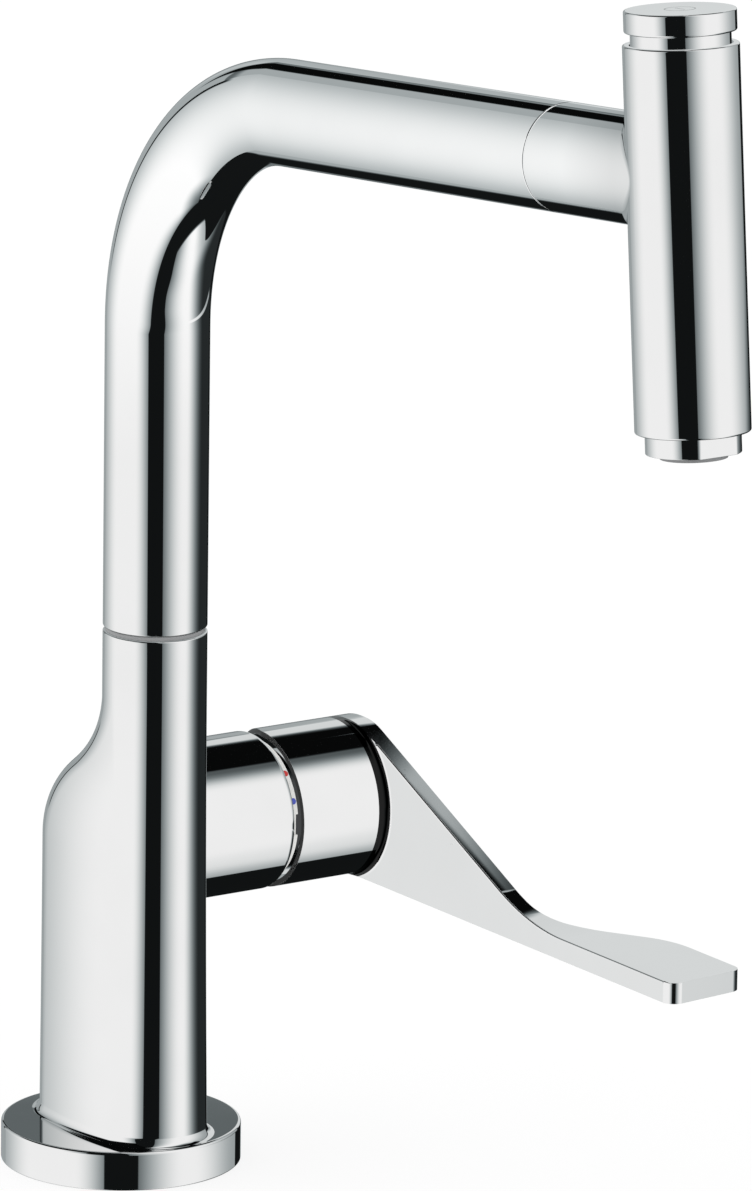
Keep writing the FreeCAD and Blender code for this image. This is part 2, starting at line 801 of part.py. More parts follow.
clip_blank = turned(
    "clip_blank",
    [
        (CLIP_GROOVE, CLIP_BOTTOM),
        ("circlip_radius", CLIP_BOTTOM),
        ("circlip_radius", CLIP_TOP),
        (CLIP_GROOVE, CLIP_TOP),
    ],
    COLUMN_PLACE,
)
clip_slot = doc.addObject("Part::Box", "clip_slot")
clip_slot.setExpression("Length", bound("circlip_radius + cut_margin"))
clip_slot.setExpression("Width", bound("circlip_radius"))
clip_slot.setExpression("Height", bound("circlip_thickness + 2 * cut_margin"))
place(
    clip_slot,
    upright(
        "column_offset - circlip_radius - cut_margin",
        "-circlip_radius / 2",
        f"{CLIP_BOTTOM} - cut_margin",
    ),
)
keep("spout_circlip", cut("spout_circlip", clip_blank, [clip_slot]))

# Spout tube, its end bush and the hose inside it.
spout_outside = bent_rod("spout_outside", "tube_radius", SPOUT_START, "spout_length")
spout_inside = bent_rod("spout_inside", "tube_radius - tube_wall", SPOUT_START, "spout_length")
keep("spout_tube", cut("spout_tube", spout_outside, [spout_inside]))

DOCKING_RADIUS = "tube_radius - tube_wall - end_bush_wall - running_clearance"
keep(
    "spout_end_bush",
    turned(
        "spout_end_bush",
        [
            ("tube_radius - tube_wall - end_bush_wall", "spout_length - end_bush_length"),
            ("tube_radius - tube_wall", "spout_length - end_bush_length"),
            ("tube_radius - tube_wall", "spout_length"),
            ("tube_radius - tube_wall - end_bush_wall", "spout_length"),
        ],
        SPOUT_PLACE,
    ),
)

DOCKING_START = "spout_length - docking_engagement"
HOSE_FRONT_END = f"{DOCKING_START} + hose_nut_entry + hose_nut_length - hose_nut_floor"
HOSE_FRONT_START = f"{HOSE_FRONT_END} - hose_front_length"
HOSE_UPPER_END = f"{HOSE_FRONT_START} - part_clearance"
hose_outside = bent_rod("hose_outside", "hose_radius", SPIGOT_BOTTOM, HOSE_UPPER_END)
hose_inside = bent_rod("hose_inside", "hose_radius - hose_wall", SPIGOT_BOTTOM, HOSE_UPPER_END)
keep("hose_upper", cut("hose_upper", hose_outside, [hose_inside]))

# Spray head: a cylinder across the end of a sleeve that continues the spout.
SLEEVE_START = "spout_length + part_clearance"
head_form = turned(
    "head_form",
    [
        ("0", "-spray_bottom"),
        ("spray_radius", "-spray_bottom"),
        ("spray_radius", "spray_top"),
        ("0", "spray_top"),
    ],
    HEAD_PLACE,
)
sleeve_form = cylinder(
    "sleeve_form", "tube_radius", f"spray_reach - ({SLEEVE_START})", along_spout(SLEEVE_START)
)
head_outside = fused("head_outside", [head_form, sleeve_form])
doc.recompute()
blend_edges = []
for number, edge in enumerate(head_outside.Shape.Edges, start=1):
    if isinstance(edge.Curve, (Part.Circle, Part.Line)):
        continue
    blend_edges.append((number, size("spray_blend"), size("spray_blend")))
head_blended = doc.addObject("Part::Fillet", "head_blended")
head_blended.Base = head_outside
head_blended.Edges = blend_edges
head_bores = [
    cylinder("valve_bore", "valve_bore_radius", "spray_top + spray_bottom", HEAD_PLACE),
    cylinder("button_well", "spray_radius - spray_wall", "button_well_depth", HEAD_PLACE),
    cylinder(
        "docking_seat",
        DOCKING_RADIUS,
        "docking_inner_reach + part_clearance",
        along_spout(SLEEVE_START),
    ),
]
HEAD_FRAME = (
    "placement(vector(column_offset + spray_reach * cos(spout_rise) - ({0}) * sin(spout_rise); 0; "
    "spout_axis_height + spray_reach * sin(spout_rise) + ({0}) * cos(spout_rise)); "
    "rotation(vector(0; 1; 0); -spout_rise))"
)
place(head_bores[0], HEAD_FRAME.format("-spray_bottom"))
place(head_bores[1], HEAD_FRAME.format("spray_top - button_well_depth"))
water_way = cylinder(
    "water_way", "hose_radius", f"spray_reach - ({SLEEVE_START})", along_spout(SLEEVE_START)
)
keep("spray_head_shell", cut("spray_head_shell", head_blended, head_bores + [water_way]))

keep(
    "docking_spigot",
    turned(
        "docking_spigot",
        [
            (f"{DOCKING_RADIUS} - docking_wall", DOCKING_START),
            (DOCKING_RADIUS, DOCKING_START),
            (DOCKING_RADIUS, f"{SLEEVE_START} + docking_inner_reach"),
            (f"{DOCKING_RADIUS} - docking_wall", f"{SLEEVE_START} + docking_inner_reach"),
        ],
        SPOUT_PLACE,
    ),
)
keep(
    "hose_nut",
    turned(
        "hose_nut",
        [
            ("hose_radius", f"{DOCKING_START} + hose_nut_entry"),
            (f"{DOCKING_RADIUS} - docking_wall", f"{DOCKING_START} + hose_nut_entry"),
            (f"{DOCKING_RADIUS} - docking_wall", f"{DOCKING_START} + hose_nut_entry + hose_nut_length"),
            ("hose_radius", f"{DOCKING_START} + hose_nut_entry + hose_nut_length"),
        ],
        SPOUT_PLACE,
    ),
)
keep(
    "hose_front",
    turned(
        "hose_front",
        [
            ("hose_radius - hose_wall", HOSE_FRONT_START),
            ("hose_radius", HOSE_FRONT_START),
            ("hose_radius", HOSE_FRONT_END),
            ("hose_radius - hose_wall", HOSE_FRONT_END),
        ],
        SPOUT_PLACE,
    ),
)

# Valve in the head: the button's pin runs in its upper bore, and water leaves through its lower one.
PIN_BORE = "stem_radius + running_clearance"
keep(
    "select_valve_body",
    turned(
        "select_valve_body",
        [
            ("0", "valve_top - valve_pin_depth"),
            ("0", "6 - valve_bottom"),
            ("seal_inner_radius", "-valve_bottom"),
            ("valve_bore_radius", "-valve_bottom"),
            ("valve_bore_radius", "valve_top"),
            (PIN_BORE, "valve_top"),
            (PIN_BORE, "valve_top - valve_pin_depth"),
        ],
        HEAD_PLACE,
    ),
)
keep(
    "aerator_seal",
    turned(
        "aerator_seal",
        [
            ("seal_inner_radius", "-valve_bottom - seal_thickness"),
            ("valve_bore_radius", "-valve_bottom - seal_thickness"),
            ("valve_bore_radius", "-valve_bottom"),
            ("seal_inner_radius", "-valve_bottom"),
        ],
        HEAD_PLACE,
    ),
)
collar_blank = turned(
    "collar_blank",
    [
        ("aerator_radius", "-collar_bottom"),
        ("valve_bore_radius", "-collar_bottom"),
        ("valve_bore_radius", "-spray_bottom + collar_thread_length"),
        ("aerator_radius", "-spray_bottom + collar_thread_length"),
    ],
    HEAD_PLACE,
)
collar_flats = []
for side in (1, -1):
    flat = doc.addObject("Part::Box", "collar_flat")
    flat.setExpression("Length", bound("4"))
    flat.setExpression("Width", bound("2 * valve_bore_radius"))
    flat.setExpression("Height", bound("collar_bottom - spray_bottom"))
    offset = "collar_flat_width / 2" if side > 0 else "-collar_flat_width / 2 - 4"
    drop = "-collar_bottom"
    place(
        flat,
        f"placement(vector(column_offset + spray_reach * cos(spout_rise) - ({drop}) * sin(spout_rise)"
        f" + ({offset}) * cos(spout_rise); -valve_bore_radius; "
        f"spout_axis_height + spray_reach * sin(spout_rise) + ({drop}) * cos(spout_rise)"
        f" + ({offset}) * sin(spout_rise)); rotation(vector(0; 1; 0); -spout_rise))",
    )
    collar_flats.append(flat)
keep("nozzle_collar", cut("nozzle_collar", collar_blank, collar_flats))

# Aerator insert: a cup whose floor is a plate of small holes on a square grid.
aerator = turned(
    "aerator_insert",
    [
        ("0", "-aerator_bottom"),
        ("aerator_radius", "-aerator_bottom"),
        ("aerator_radius", "-aerator_bottom + aerator_height"),
        ("aerator_radius - aerator_rim", "-aerator_bottom + aerator_height"),
        ("aerator_radius - aerator_rim", "-aerator_bottom + aerator_floor"),
        ("0", "-aerator_bottom + aerator_floor"),
    ],
    HEAD_PLACE,
)
doc.recompute()
hole_sketch = attached_sketch(aerator, "aerator_holes", "XY_Plane", "-aerator_bottom")
for column in range(-3, 4):
    for line in range(-3, 4):
        if column ** 2 + line ** 2 > 10:
            continue
        centre = [f"{step} * aerator_hole_pitch" if step else "0" for step in (column, line)]
        add_circle(hole_sketch, centre, "aerator_hole_radius")
hole_pocket = aerator.newObject("PartDesign::Pocket", "aerator_hole_pocket")
hole_pocket.Profile = hole_sketch
hole_pocket.setExpression("Length", bound("aerator_floor"))
hole_pocket.Reversed = True
aerator.Tip = hole_pocket
keep("aerator_insert", aerator)

# Push button on the head, its stem and the spring under the stem's flange.
BUTTON_BOTTOM = "spray_top + button_gap"
BUTTON_TOP = f"{BUTTON_BOTTOM} + button_height"
button = turned(
    "select_button",
    [
        ("0", f"{BUTTON_TOP} - button_wall"),
        ("button_neck_radius - button_wall", f"{BUTTON_TOP} - button_wall"),
        ("button_neck_radius - button_wall", f"{BUTTON_BOTTOM} - button_neck_length"),
        ("button_neck_radius", f"{BUTTON_BOTTOM} - button_neck_length"),
        ("button_neck_radius", BUTTON_BOTTOM),
        ("button_radius", BUTTON_BOTTOM),
        ("button_radius", BUTTON_TOP),
        ("0", BUTTON_TOP),
    ],
    HEAD_PLACE,
)
keep("select_button", button)
button_bottom = size("spray_top") + size("button_gap")
button_top = button_bottom + size("button_height")
round_rims(
    button,
    [
        (size("button_radius"), button_top, "button_rounding"),
        (size("button_radius"), button_bottom, "button_rounding"),
    ],
)
FLANGE_TOP = f"{BUTTON_TOP} - button_wall"
keep(
    "button_stem",
    turned(
        "button_stem",
        [
            ("0", "valve_top - stem_entry"),
            ("stem_radius", "valve_top - stem_entry"),
            ("stem_radius", f"{FLANGE_TOP} - stem_flange_thickness"),
            ("stem_flange_radius", f"{FLANGE_TOP} - stem_flange_thickness"),
            ("stem_flange_radius", FLANGE_TOP),
            ("0", FLANGE_TOP),
        ],
        HEAD_PLACE,
    ),
)
SPRING_STEPS = 12
WIRE_SIDES = 8


def spring_section(turn, rise):
    """Draw the wire's eight-sided section at a turn of the coil, square to the helix."""
    coil = size("spring_coil_radius")
    angle = 2 * math.pi * turn
    outwards = FreeCAD.Vector(math.cos(angle), math.sin(angle), 0)
    along = FreeCAD.Vector(-coil * math.sin(angle), coil * math.cos(angle), rise / (2 * math.pi))
    across = along.cross(outwards).normalize()
    centre = outwards * coil + FreeCAD.Vector(0, 0, rise * turn)
    corners = []
    for side in range(WIRE_SIDES):
        corner = 2 * math.pi * side / WIRE_SIDES
        spread = outwards * math.cos(corner) + across * math.sin(corner)
        corners.append(centre + spread * size("spring_wire_radius"))
    return Part.makePolygon(corners + corners[:1])


spring_bottom = size("valve_top") + size("spring_free_space") + size("spring_wire_radius")
spring_top = button_top - size("button_wall") - size("stem_flange_thickness") - size("spring_wire_radius")
spring_rise = (spring_top - spring_bottom) / size("spring_turns")
spring_steps = round(SPRING_STEPS * size("spring_turns"))
spring = doc.addObject("Part::Feature", "button_spring")
spring.Shape = Part.makeLoft(
    [spring_section(step / SPRING_STEPS, spring_rise) for step in range(spring_steps + 1)], True, True
)
place(spring, HEAD_FRAME.format("valve_top + spring_free_space + spring_wire_radius"))
keep("button_spring", spring)

# Cartridge in the barrel, from the cavity's floor outwards.
CARTRIDGE_START = "cavity_floor + 2 * seal_ring_section"
CARTRIDGE_END = f"{CARTRIDGE_START} + cartridge_length"
PORT_TURNS = (30, 150, 270)


def barrel_point(radius, turn, distance):
    """Write a place in the barrel: a radius, a turn from +X across it and a distance along it."""
    return (
        f"placement(vector(barrel_offset + ({radius}) * cos({turn}); {distance}; "
        f"barrel_height + ({radius}) * sin({turn})); rotation(vector(1; 0; 0); -90))"
    )


port_seals = []
port_holes = []
for number, turn in enumerate(PORT_TURNS):
    ring = doc.addObject("Part::Torus", f"port_seal_{number}")
    ring.setExpression("Radius1", bound("port_radius + seal_ring_section"))
    ring.setExpression("Radius2", bound("seal_ring_section"))
    place(ring, barrel_point("port_circle", turn, "cavity_floor + seal_ring_section"))
    port_seals.append(ring)
    port_holes.append(
        cylinder(
            f"port_hole_{number}",
            "port_radius",
            "cartridge_floor + fixed_disc_thickness",
            barrel_point("port_circle", turn, CARTRIDGE_START),
        )
    )
seal_set = doc.addObject("Part::Compound", "cartridge_seals")
seal_set.Links = port_seals
keep("cartridge_seals", seal_set)

cartridge_blank = turned(
    "cartridge_blank",
    [
        ("0", CARTRIDGE_START),
        ("cartridge_radius", CARTRIDGE_START),
        ("cartridge_radius", CARTRIDGE_END),
        ("cartridge_radius - cartridge_wall", CARTRIDGE_END),
        ("cartridge_radius - cartridge_wall", f"{CARTRIDGE_START} + cartridge_floor"),
        ("0", f"{CARTRIDGE_START} + cartridge_floor"),
    ],
    BARREL_PLACE,
)
keep("cartridge_housing", cut("cartridge_housing", cartridge_blank, port_holes))

FIXED_DISC_START = f"{CARTRIDGE_START} + cartridge_floor"
FIXED_DISC_END = f"{FIXED_DISC_START} + fixed_disc_thickness"
fixed_disc_blank = turned(
    "fixed_disc_blank",
    [
        ("0", FIXED_DISC_START),
        ("fixed_disc_radius", FIXED_DISC_START),
        ("fixed_disc_radius", FIXED_DISC_END),
        ("0", FIXED_DISC_END),
    ],
    BARREL_PLACE,
)
keep("ceramic_disc_fixed", cut("ceramic_disc_fixed", fixed_disc_blank, port_holes))

MOVING_DISC_START = f"{FIXED_DISC_END} + disc_clearance"
MOVING_DISC_END = f"{MOVING_DISC_START} + moving_disc_thickness"
TIP_POCKET_FLOOR = f"{MOVING_DISC_END} - stem_tip_entry - stem_tip_clearance"
keep(
    "ceramic_disc_moving",
    turned(
        "ceramic_disc_moving",
        [
            ("0", MOVING_DISC_START),
            ("moving_disc_radius", MOVING_DISC_START),
            ("moving_disc_radius", MOVING_DISC_END),
            ("stem_tip_radius + 2 * part_clearance", MOVING_DISC_END),
            ("stem_tip_radius + 2 * part_clearance", TIP_POCKET_FLOOR),
            ("0", TIP_POCKET_FLOOR),
        ],
        BARREL_PLACE,
    ),
)

ROTOR_START = f"{MOVING_DISC_END} + part_clearance"
ROTOR_SHOULDER = f"{CARTRIDGE_END} - part_clearance"
ROTOR_END = f"{CARTRIDGE_END} + rotor_neck_length"
rotor_blank = turned(
    "rotor_blank",
    [
        ("0", ROTOR_START),
        ("cartridge_radius - cartridge_wall - part_clearance", ROTOR_START),
        ("cartridge_radius - cartridge_wall - part_clearance", ROTOR_SHOULDER),
        ("rotor_neck_radius", ROTOR_SHOULDER),
        ("rotor_neck_radius", ROTOR_END),
        ("0", ROTOR_END),
    ],
    BARREL_PLACE,
)
rotor_slot = doc.addObject("Part::Box", "rotor_slot")
rotor_slot.setExpression("Length", bound("rotor_slot_front + rotor_slot_rear"))
rotor_slot.setExpression("Width", bound(f"{ROTOR_END} - ({ROTOR_START}) + 2 * cut_margin"))
rotor_slot.setExpression("Height", bound("stem_width + 2 * part_clearance"))
place(
    rotor_slot,
    upright(
        "barrel_offset - rotor_slot_rear",
        f"{ROTOR_START} - cut_margin",
        "barrel_height - stem_width / 2 - part_clearance",
    ),
)
PIN_PLACE = upright("barrel_offset", "pivot_distance", "barrel_height - pivot_pin_length / 2")
pin_hole = cylinder("pin_hole", "pivot_pin_radius", "pivot_pin_length", PIN_PLACE)
keep("cartridge_rotor", cut("cartridge_rotor", rotor_blank, [rotor_slot, pin_hole]))
keep("pivot_pin", cylinder("pivot_pin", "pivot_pin_radius", "pivot_pin_length", PIN_PLACE))

NUT_END = f"{CARTRIDGE_END} + cartridge_nut_height"
keep(
    "cartridge_nut",
    turned(
        "cartridge_nut",
        [
            ("cartridge_nut_bore", CARTRIDGE_END),
            ("cavity_radius", CARTRIDGE_END),
            ("cavity_radius", f"{NUT_END} - cartridge_nut_chamfer"),
            ("cavity_radius - cartridge_nut_chamfer", NUT_END),
            ("cartridge_nut_bore", NUT_END),
        ],
        BARREL_PLACE,
    ),
)

# Dome over the cartridge's nut: every corner lies inside a sphere about the lever's pivot.
def dome_height(radius):
    """Write the distance along the barrel where the pivot's sphere has this radius."""
    return f"pivot_distance + sqrt(dome_reach * dome_reach - ({radius}) * ({radius}))"


middle_radius = "(dome_radius + dome_hole_radius) / 2"
keep(
    "barrel_dome",
    turned(
        "barrel_dome",
        [
            ("dome_radius - dome_wall", NUT_END),
            ("cavity_radius - part_clearance", NUT_END),
            ("cavity_radius - part_clearance", "barrel_end"),
            ("dome_radius", "barrel_end"),
            ("dome_radius", dome_height("dome_radius")),
            (middle_radius, dome_height(middle_radius)),
            ("dome_hole_radius", dome_height("dome_hole_radius")),
            ("dome_hole_radius", f"{dome_height('dome_hole_radius')} - dome_wall"),
            (f"{middle_radius} - dome_wall / 2", f"{dome_height(middle_radius)} - dome_wall"),
            ("dome_radius - dome_wall", f"{dome_height('dome_radius')} - dome_wall / 2"),
        ],
        BARREL_PLACE,
    ),
)

# Indicator ring with its notch, and the two marks let into its rim.
ring_blank = turned(
    "ring_blank",
    [
        ("dome_radius + indicator_clearance", "barrel_end"),
        ("indicator_radius", "barrel_end"),
        ("indicator_radius", "barrel_end + indicator_height"),
        ("dome_radius + indicator_clearance", "barrel_end + indicator_height"),
    ],
    BARREL_PLACE,
)


def rim_place(turn, radius, distance):
    """Write a place on the barrel's radius at a turn from +X, with the piece's Z axis outwards."""
    return (
        f"placement(vector(barrel_offset + ({radius}) * cos({turn}); {distance}; "
        f"barrel_height + ({radius}) * sin({turn})); rotation(vector(0; 1; 0); 90 - ({turn})))"
    )


MARK_DISTANCE = "barrel_end + indicator_height / 2"
mark_pockets = []
for name in ("hot_mark", "cold_mark"):
    seat = rim_place(name + "_angle", "indicator_radius - mark_depth", MARK_DISTANCE)
    keep(name, cylinder(name, "mark_radius", "mark_depth + mark_proud", seat))
    mark_pockets.append(cylinder(name + "_pocket", "mark_radius", "mark_depth + cut_margin", seat))
notch = doc.addObject("Part::Box", "indicator_notch")
notch.setExpression("Length", bound("indicator_notch_width"))
notch.setExpression("Width", bound("indicator_height"))
notch.setExpression("Height", bound("indicator_notch_depth + cut_margin"))
NOTCH_FLOOR = "(indicator_radius - indicator_notch_depth)"
place(
    notch,
    f"placement(vector(barrel_offset + {NOTCH_FLOOR} * cos(indicator_notch_angle)"
    " - indicator_notch_width / 2 * sin(indicator_notch_angle); barrel_end + indicator_notch_floor; "
    f"barrel_height + {NOTCH_FLOOR} * sin(indicator_notch_angle)"
    " + indicator_notch_width / 2 * cos(indicator_notch_angle)); "
    "rotation(vector(0; 1; 0); 90 - indicator_notch_angle))",
)
keep("indicator_ring", cut("indicator_ring", ring_blank, mark_pockets + [notch]))

# Lever handle: cap, blade and paddle in one casting. Its own frame is the barrel's axis point.
CAP_START = "barrel_end + cap_gap"
CAP_END = "blade_start + blade_thickness"
LEVER_PLACE = upright("barrel_offset", "0", "barrel_height")
BLADE_TOP_LINE = "(barrel_radius + blade_lift) / cos(blade_slope)"
BLADE_CREST = f"({BLADE_TOP_LINE} - barrel_radius) / tan(blade_slope)"
PADDLE_TOP_CORNER = f"({BLADE_TOP_LINE} + barrel_radius - paddle_thickness) / tan(blade_slope)"
WIDE_EDGE = "blade_start + paddle_width"
FLARE_END = f"paddle_flare_start + ({WIDE_EDGE} - ({CAP_END})) / tan(paddle_flare_angle)"

BLADE_OUTLINE = [
    ("0", "-barrel_radius"),
    ("lever_reach", "-barrel_radius"),
    ("lever_reach", "paddle_tip_thickness - barrel_radius"),
    (PADDLE_TOP_CORNER, "paddle_thickness - barrel_radius"),
    (BLADE_CREST, "barrel_radius"),
    ("0", "barrel_radius"),
]
lever = doc.addObject("PartDesign::Body", "lever_casting")
blade_sketch = attached_sketch(lever, "blade_outline", "XZ_Plane", "-blade_start")
add_polygon(blade_sketch, BLADE_OUTLINE)
blade_pad = lever.newObject("PartDesign::Pad", "blade_pad")
blade_pad.Profile = blade_sketch
blade_pad.setExpression("Length", bound("paddle_width"))
blade_pad.Reversed = True
doc.recompute()


def straight_edges(shape, test):
    """Names of a shape's straight edges whose two ends both pass a test."""
    names = []
    for index, edge in enumerate(shape.Edges, start=1):
        if isinstance(edge.Curve, Part.Line) and all(test(vertex.Point) for vertex in edge.Vertexes):
            names.append(f"Edge{index}")
    return names


def add_fillet(body, name, edges, rounding):
    """Round named edges of the body's tip."""
    base = body.Tip
    fillet = body.newObject("PartDesign::Fillet", name)
    fillet.Base = (base, edges)
    fillet.setExpression("Radius", bound(rounding))
    body.Tip = fillet
    doc.recompute()


slope = math.radians(size("blade_slope"))
cap_radius = size("barrel_radius")
top_line = (cap_radius + size("blade_lift")) / math.cos(slope)
corner_z = size("paddle_thickness") - cap_radius
corner_x = (top_line - corner_z) / math.tan(slope)
crest_x = (top_line - cap_radius) / math.tan(slope)


def outline_edges(body, x, z):
    """Names of the straight edges across a body at a corner of the blade's outline."""
    return straight_edges(
        body.Tip.Shape, lambda point: abs(point.x - x) < NEAR and abs(point.z - z) < NEAR
    )


add_fillet(lever, "paddle_blend", outline_edges(lever, corner_x, corner_z), "paddle_blend_radius")
add_fillet(lever, "blade_crest", outline_edges(lever, crest_x, cap_radius), "blade_crest_fillet")

plan_sketch = attached_sketch(lever, "paddle_plan", "XY_Plane", "-barrel_radius - cut_margin")
TIP_FAR = "lever_reach - paddle_width * tan(paddle_tip_skew)"
add_polygon(
    plan_sketch,
    [
        ("-2 * barrel_radius", CAP_END),
        ("paddle_flare_start", CAP_END),
        (FLARE_END, WIDE_EDGE),
        (TIP_FAR, WIDE_EDGE),
        ("lever_reach + cut_margin * tan(paddle_tip_skew)", "blade_start - cut_margin"),
        ("lever_reach + barrel_radius", "blade_start - cut_margin"),
        ("lever_reach + barrel_radius", f"{WIDE_EDGE} + cut_margin"),
        ("-2 * barrel_radius", f"{WIDE_EDGE} + cut_margin"),
    ],
)
plan_pocket = lever.newObject("PartDesign::Pocket", "plan_pocket")
plan_pocket.Profile = plan_sketch
plan_pocket.setExpression("Length", bound("3 * barrel_radius"))
plan_pocket.Reversed = True
lever.Tip = plan_pocket
doc.recompute()

cap_end = size("blade_start") + size("blade_thickness")
wide_edge = size("blade_start") + size("paddle_width")
flare_angle = math.radians(size("paddle_flare_angle"))
flare_start = size("paddle_flare_start")
flare_end = flare_start + (wide_edge - cap_end) / math.tan(flare_angle)
tip_near = size("lever_reach")
tip_far = tip_near - size("paddle_width") * math.tan(math.radians(size("paddle_tip_skew")))


def plan_edges(x, y):
    """Names of the lever's upright edges at a corner of its plan."""
    return straight_edges(
        lever.Tip.Shape, lambda point: abs(point.x - x) < NEAR and abs(point.y - y) < NEAR
    )


add_fillet(lever, "flare_hollow", plan_edges(flare_start, cap_end), "paddle_flare_fillet")
add_fillet(lever, "flare_shoulder", plan_edges(flare_end, wide_edge), "paddle_shoulder_fillet")
tip_edges = plan_edges(tip_far, wide_edge) + plan_edges(tip_near, size("blade_start"))
add_fillet(lever, "tip_corners", tip_edges, "paddle_tip_fillet")

cap_sketch = attached_sketch(lever, "cap_outline", "XZ_Plane", f"-({CAP_START})")
add_circle(cap_sketch, ("0", "0"), "barrel_radius")
cap_pad = lever.newObject("PartDesign::Pad", "cap_pad")
cap_pad.Profile = cap_sketch
cap_pad.setExpression("Length", bound(f"{CAP_END} - ({CAP_START})"))
cap_pad.Reversed = True
lever.Tip = cap_pad
doc.recompute()

# Hollow of the cap, with a boss that grips the cartridge's stem.
hollow_sketch = attached_sketch(lever, "cap_hollow", "XZ_Plane", f"-({CAP_START})")
add_circle(hollow_sketch, ("0", "0"), "barrel_radius - cap_wall")
hollow = lever.newObject("PartDesign::Pocket", "hollow_pocket")
hollow.Profile = hollow_sketch
hollow.setExpression("Length", bound(f"{CAP_END} - cap_end_wall - ({CAP_START})"))
lever.Tip = hollow
boss_sketch = attached_sketch(lever, "boss_outline", "XZ_Plane", "-socket_start")
add_circle(boss_sketch, ("0", "0"), "socket_boss_radius")
boss = lever.newObject("PartDesign::Pad", "boss_pad")
boss.Profile = boss_sketch
boss.setExpression("Length", bound(f"{CAP_END} - cap_end_wall - socket_start"))
boss.Reversed = True
lever.Tip = boss
socket_sketch = attached_sketch(lever, "socket_outline", "XZ_Plane", "-socket_start")
HALF_STEM = "stem_width / 2"
add_polygon(
    socket_sketch,
    [
        (f"-{HALF_STEM}", f"-{HALF_STEM}"),
        (HALF_STEM, f"-{HALF_STEM}"),
        (HALF_STEM, HALF_STEM),
        (f"-{HALF_STEM}", HALF_STEM),
    ],
)
socket = lever.newObject("PartDesign::Pocket", "socket_pocket")
socket.Profile = socket_sketch
socket.setExpression("Length", bound("stem_end - socket_start"))
lever.Tip = socket

# The cap's rear rim is cut back at an angle, so that the lever can tilt off the barrel.
relief_sketch = attached_sketch(lever, "relief_outline", "XY_Plane", "-barrel_radius - cut_margin")
RELIEF_REACH = "(barrel_radius + cut_margin)"
add_polygon(
    relief_sketch,
    [
        ("0", f"{CAP_START} - cut_margin"),
        ("0", CAP_START),
        (f"-{RELIEF_REACH}", f"{CAP_START} + {RELIEF_REACH} * tan(cap_relief_angle)"),
        (f"-{RELIEF_REACH}", f"{CAP_START} - cut_margin"),
    ],
)
relief = lever.newObject("PartDesign::Pocket", "relief_pocket")
relief.Profile = relief_sketch
relief.setExpression("Length", bound("3 * barrel_radius"))
relief.Reversed = True
lever.Tip = relief

# Screw hole from below: a threaded stretch in the boss and a plugged hole in the cap's wall.
for name, radius, start, depth in (
    ("grub_hole", "grub_radius", "-socket_boss_radius", "socket_boss_radius - stem_width / 2"),
    ("plug_hole", "plug_radius", "-barrel_radius", "cap_wall + cut_margin"),
):
    hole_outline = attached_sketch(lever, name + "_outline", "XY_Plane", start)
    add_circle(hole_outline, ("0", "grub_distance"), radius)
    hole = lever.newObject("PartDesign::Pocket", name)
    hole.Profile = hole_outline
    hole.setExpression("Length", bound(depth))
    hole.Reversed = True
    lever.Tip = hole
place(lever, LEVER_PLACE)

# Hollow blend between the cap's wall and the blade's face, kept inside the blade's outline.
blend_block = turned(
    "blend_block",
    [
        ("barrel_radius - cap_wall / 2", "blade_start - blade_root_fillet"),
        ("barrel_radius + blade_root_fillet", "blade_start - blade_root_fillet"),
        ("barrel_radius + blade_root_fillet", "blade_start + blade_thickness / 2"),
        ("barrel_radius - cap_wall / 2", "blade_start + blade_thickness / 2"),
    ],
    BARREL_PLACE,
)
blend_hollow = doc.addObject("Part::Torus", "blend_hollow")
blend_hollow.setExpression("Radius1", bound("barrel_radius + blade_root_fillet"))
blend_hollow.setExpression("Radius2", bound("blade_root_fillet"))
place(
    blend_hollow,
    "placement(vector(barrel_offset; blade_start - blade_root_fillet; barrel_height); "
    "rotation(vector(1; 0; 0); -90))",
)
blend_limit = doc.addObject("PartDesign::Body", "blend_limit")
limit_sketch = attached_sketch(blend_limit, "limit_outline", "XZ_Plane", "blade_root_fillet - blade_start")
add_polygon(limit_sketch, BLADE_OUTLINE)
limit_pad = blend_limit.newObject("PartDesign::Pad", "limit_pad")
limit_pad.Profile = limit_sketch
limit_pad.setExpression("Length", bound("blade_root_fillet + blade_thickness / 2"))
limit_pad.Reversed = True
doc.recompute()
add_fillet(
    blend_limit, "limit_crest", outline_edges(blend_limit, crest_x, cap_radius), "blade_crest_fillet"
)
place(blend_limit, LEVER_PLACE)
blend = doc.addObject("Part::Common", "blade_blend")
blend.Base = cut("blend_ring", blend_block, [blend_hollow])
blend.Tool = blend_limit
keep("lever_handle", fused("lever_handle", [lever, blend]))

GRUB_BOTTOM = "barrel_height - socket_boss_radius"
keep(
    "grub_screw",
    cylinder(
        "grub_screw",
        "grub_radius",
        "socket_boss_radius - stem_width / 2",
        upright("barrel_offset", "grub_distance", GRUB_BOTTOM),
    ),
)
keep(
    "grub_plug",
    cylinder(
        "grub_plug",
        "plug_radius",
        "cap_wall - plug_recess",
        upright("barrel_offset", "grub_distance", "barrel_height - barrel_radius + plug_recess"),
    ),
)

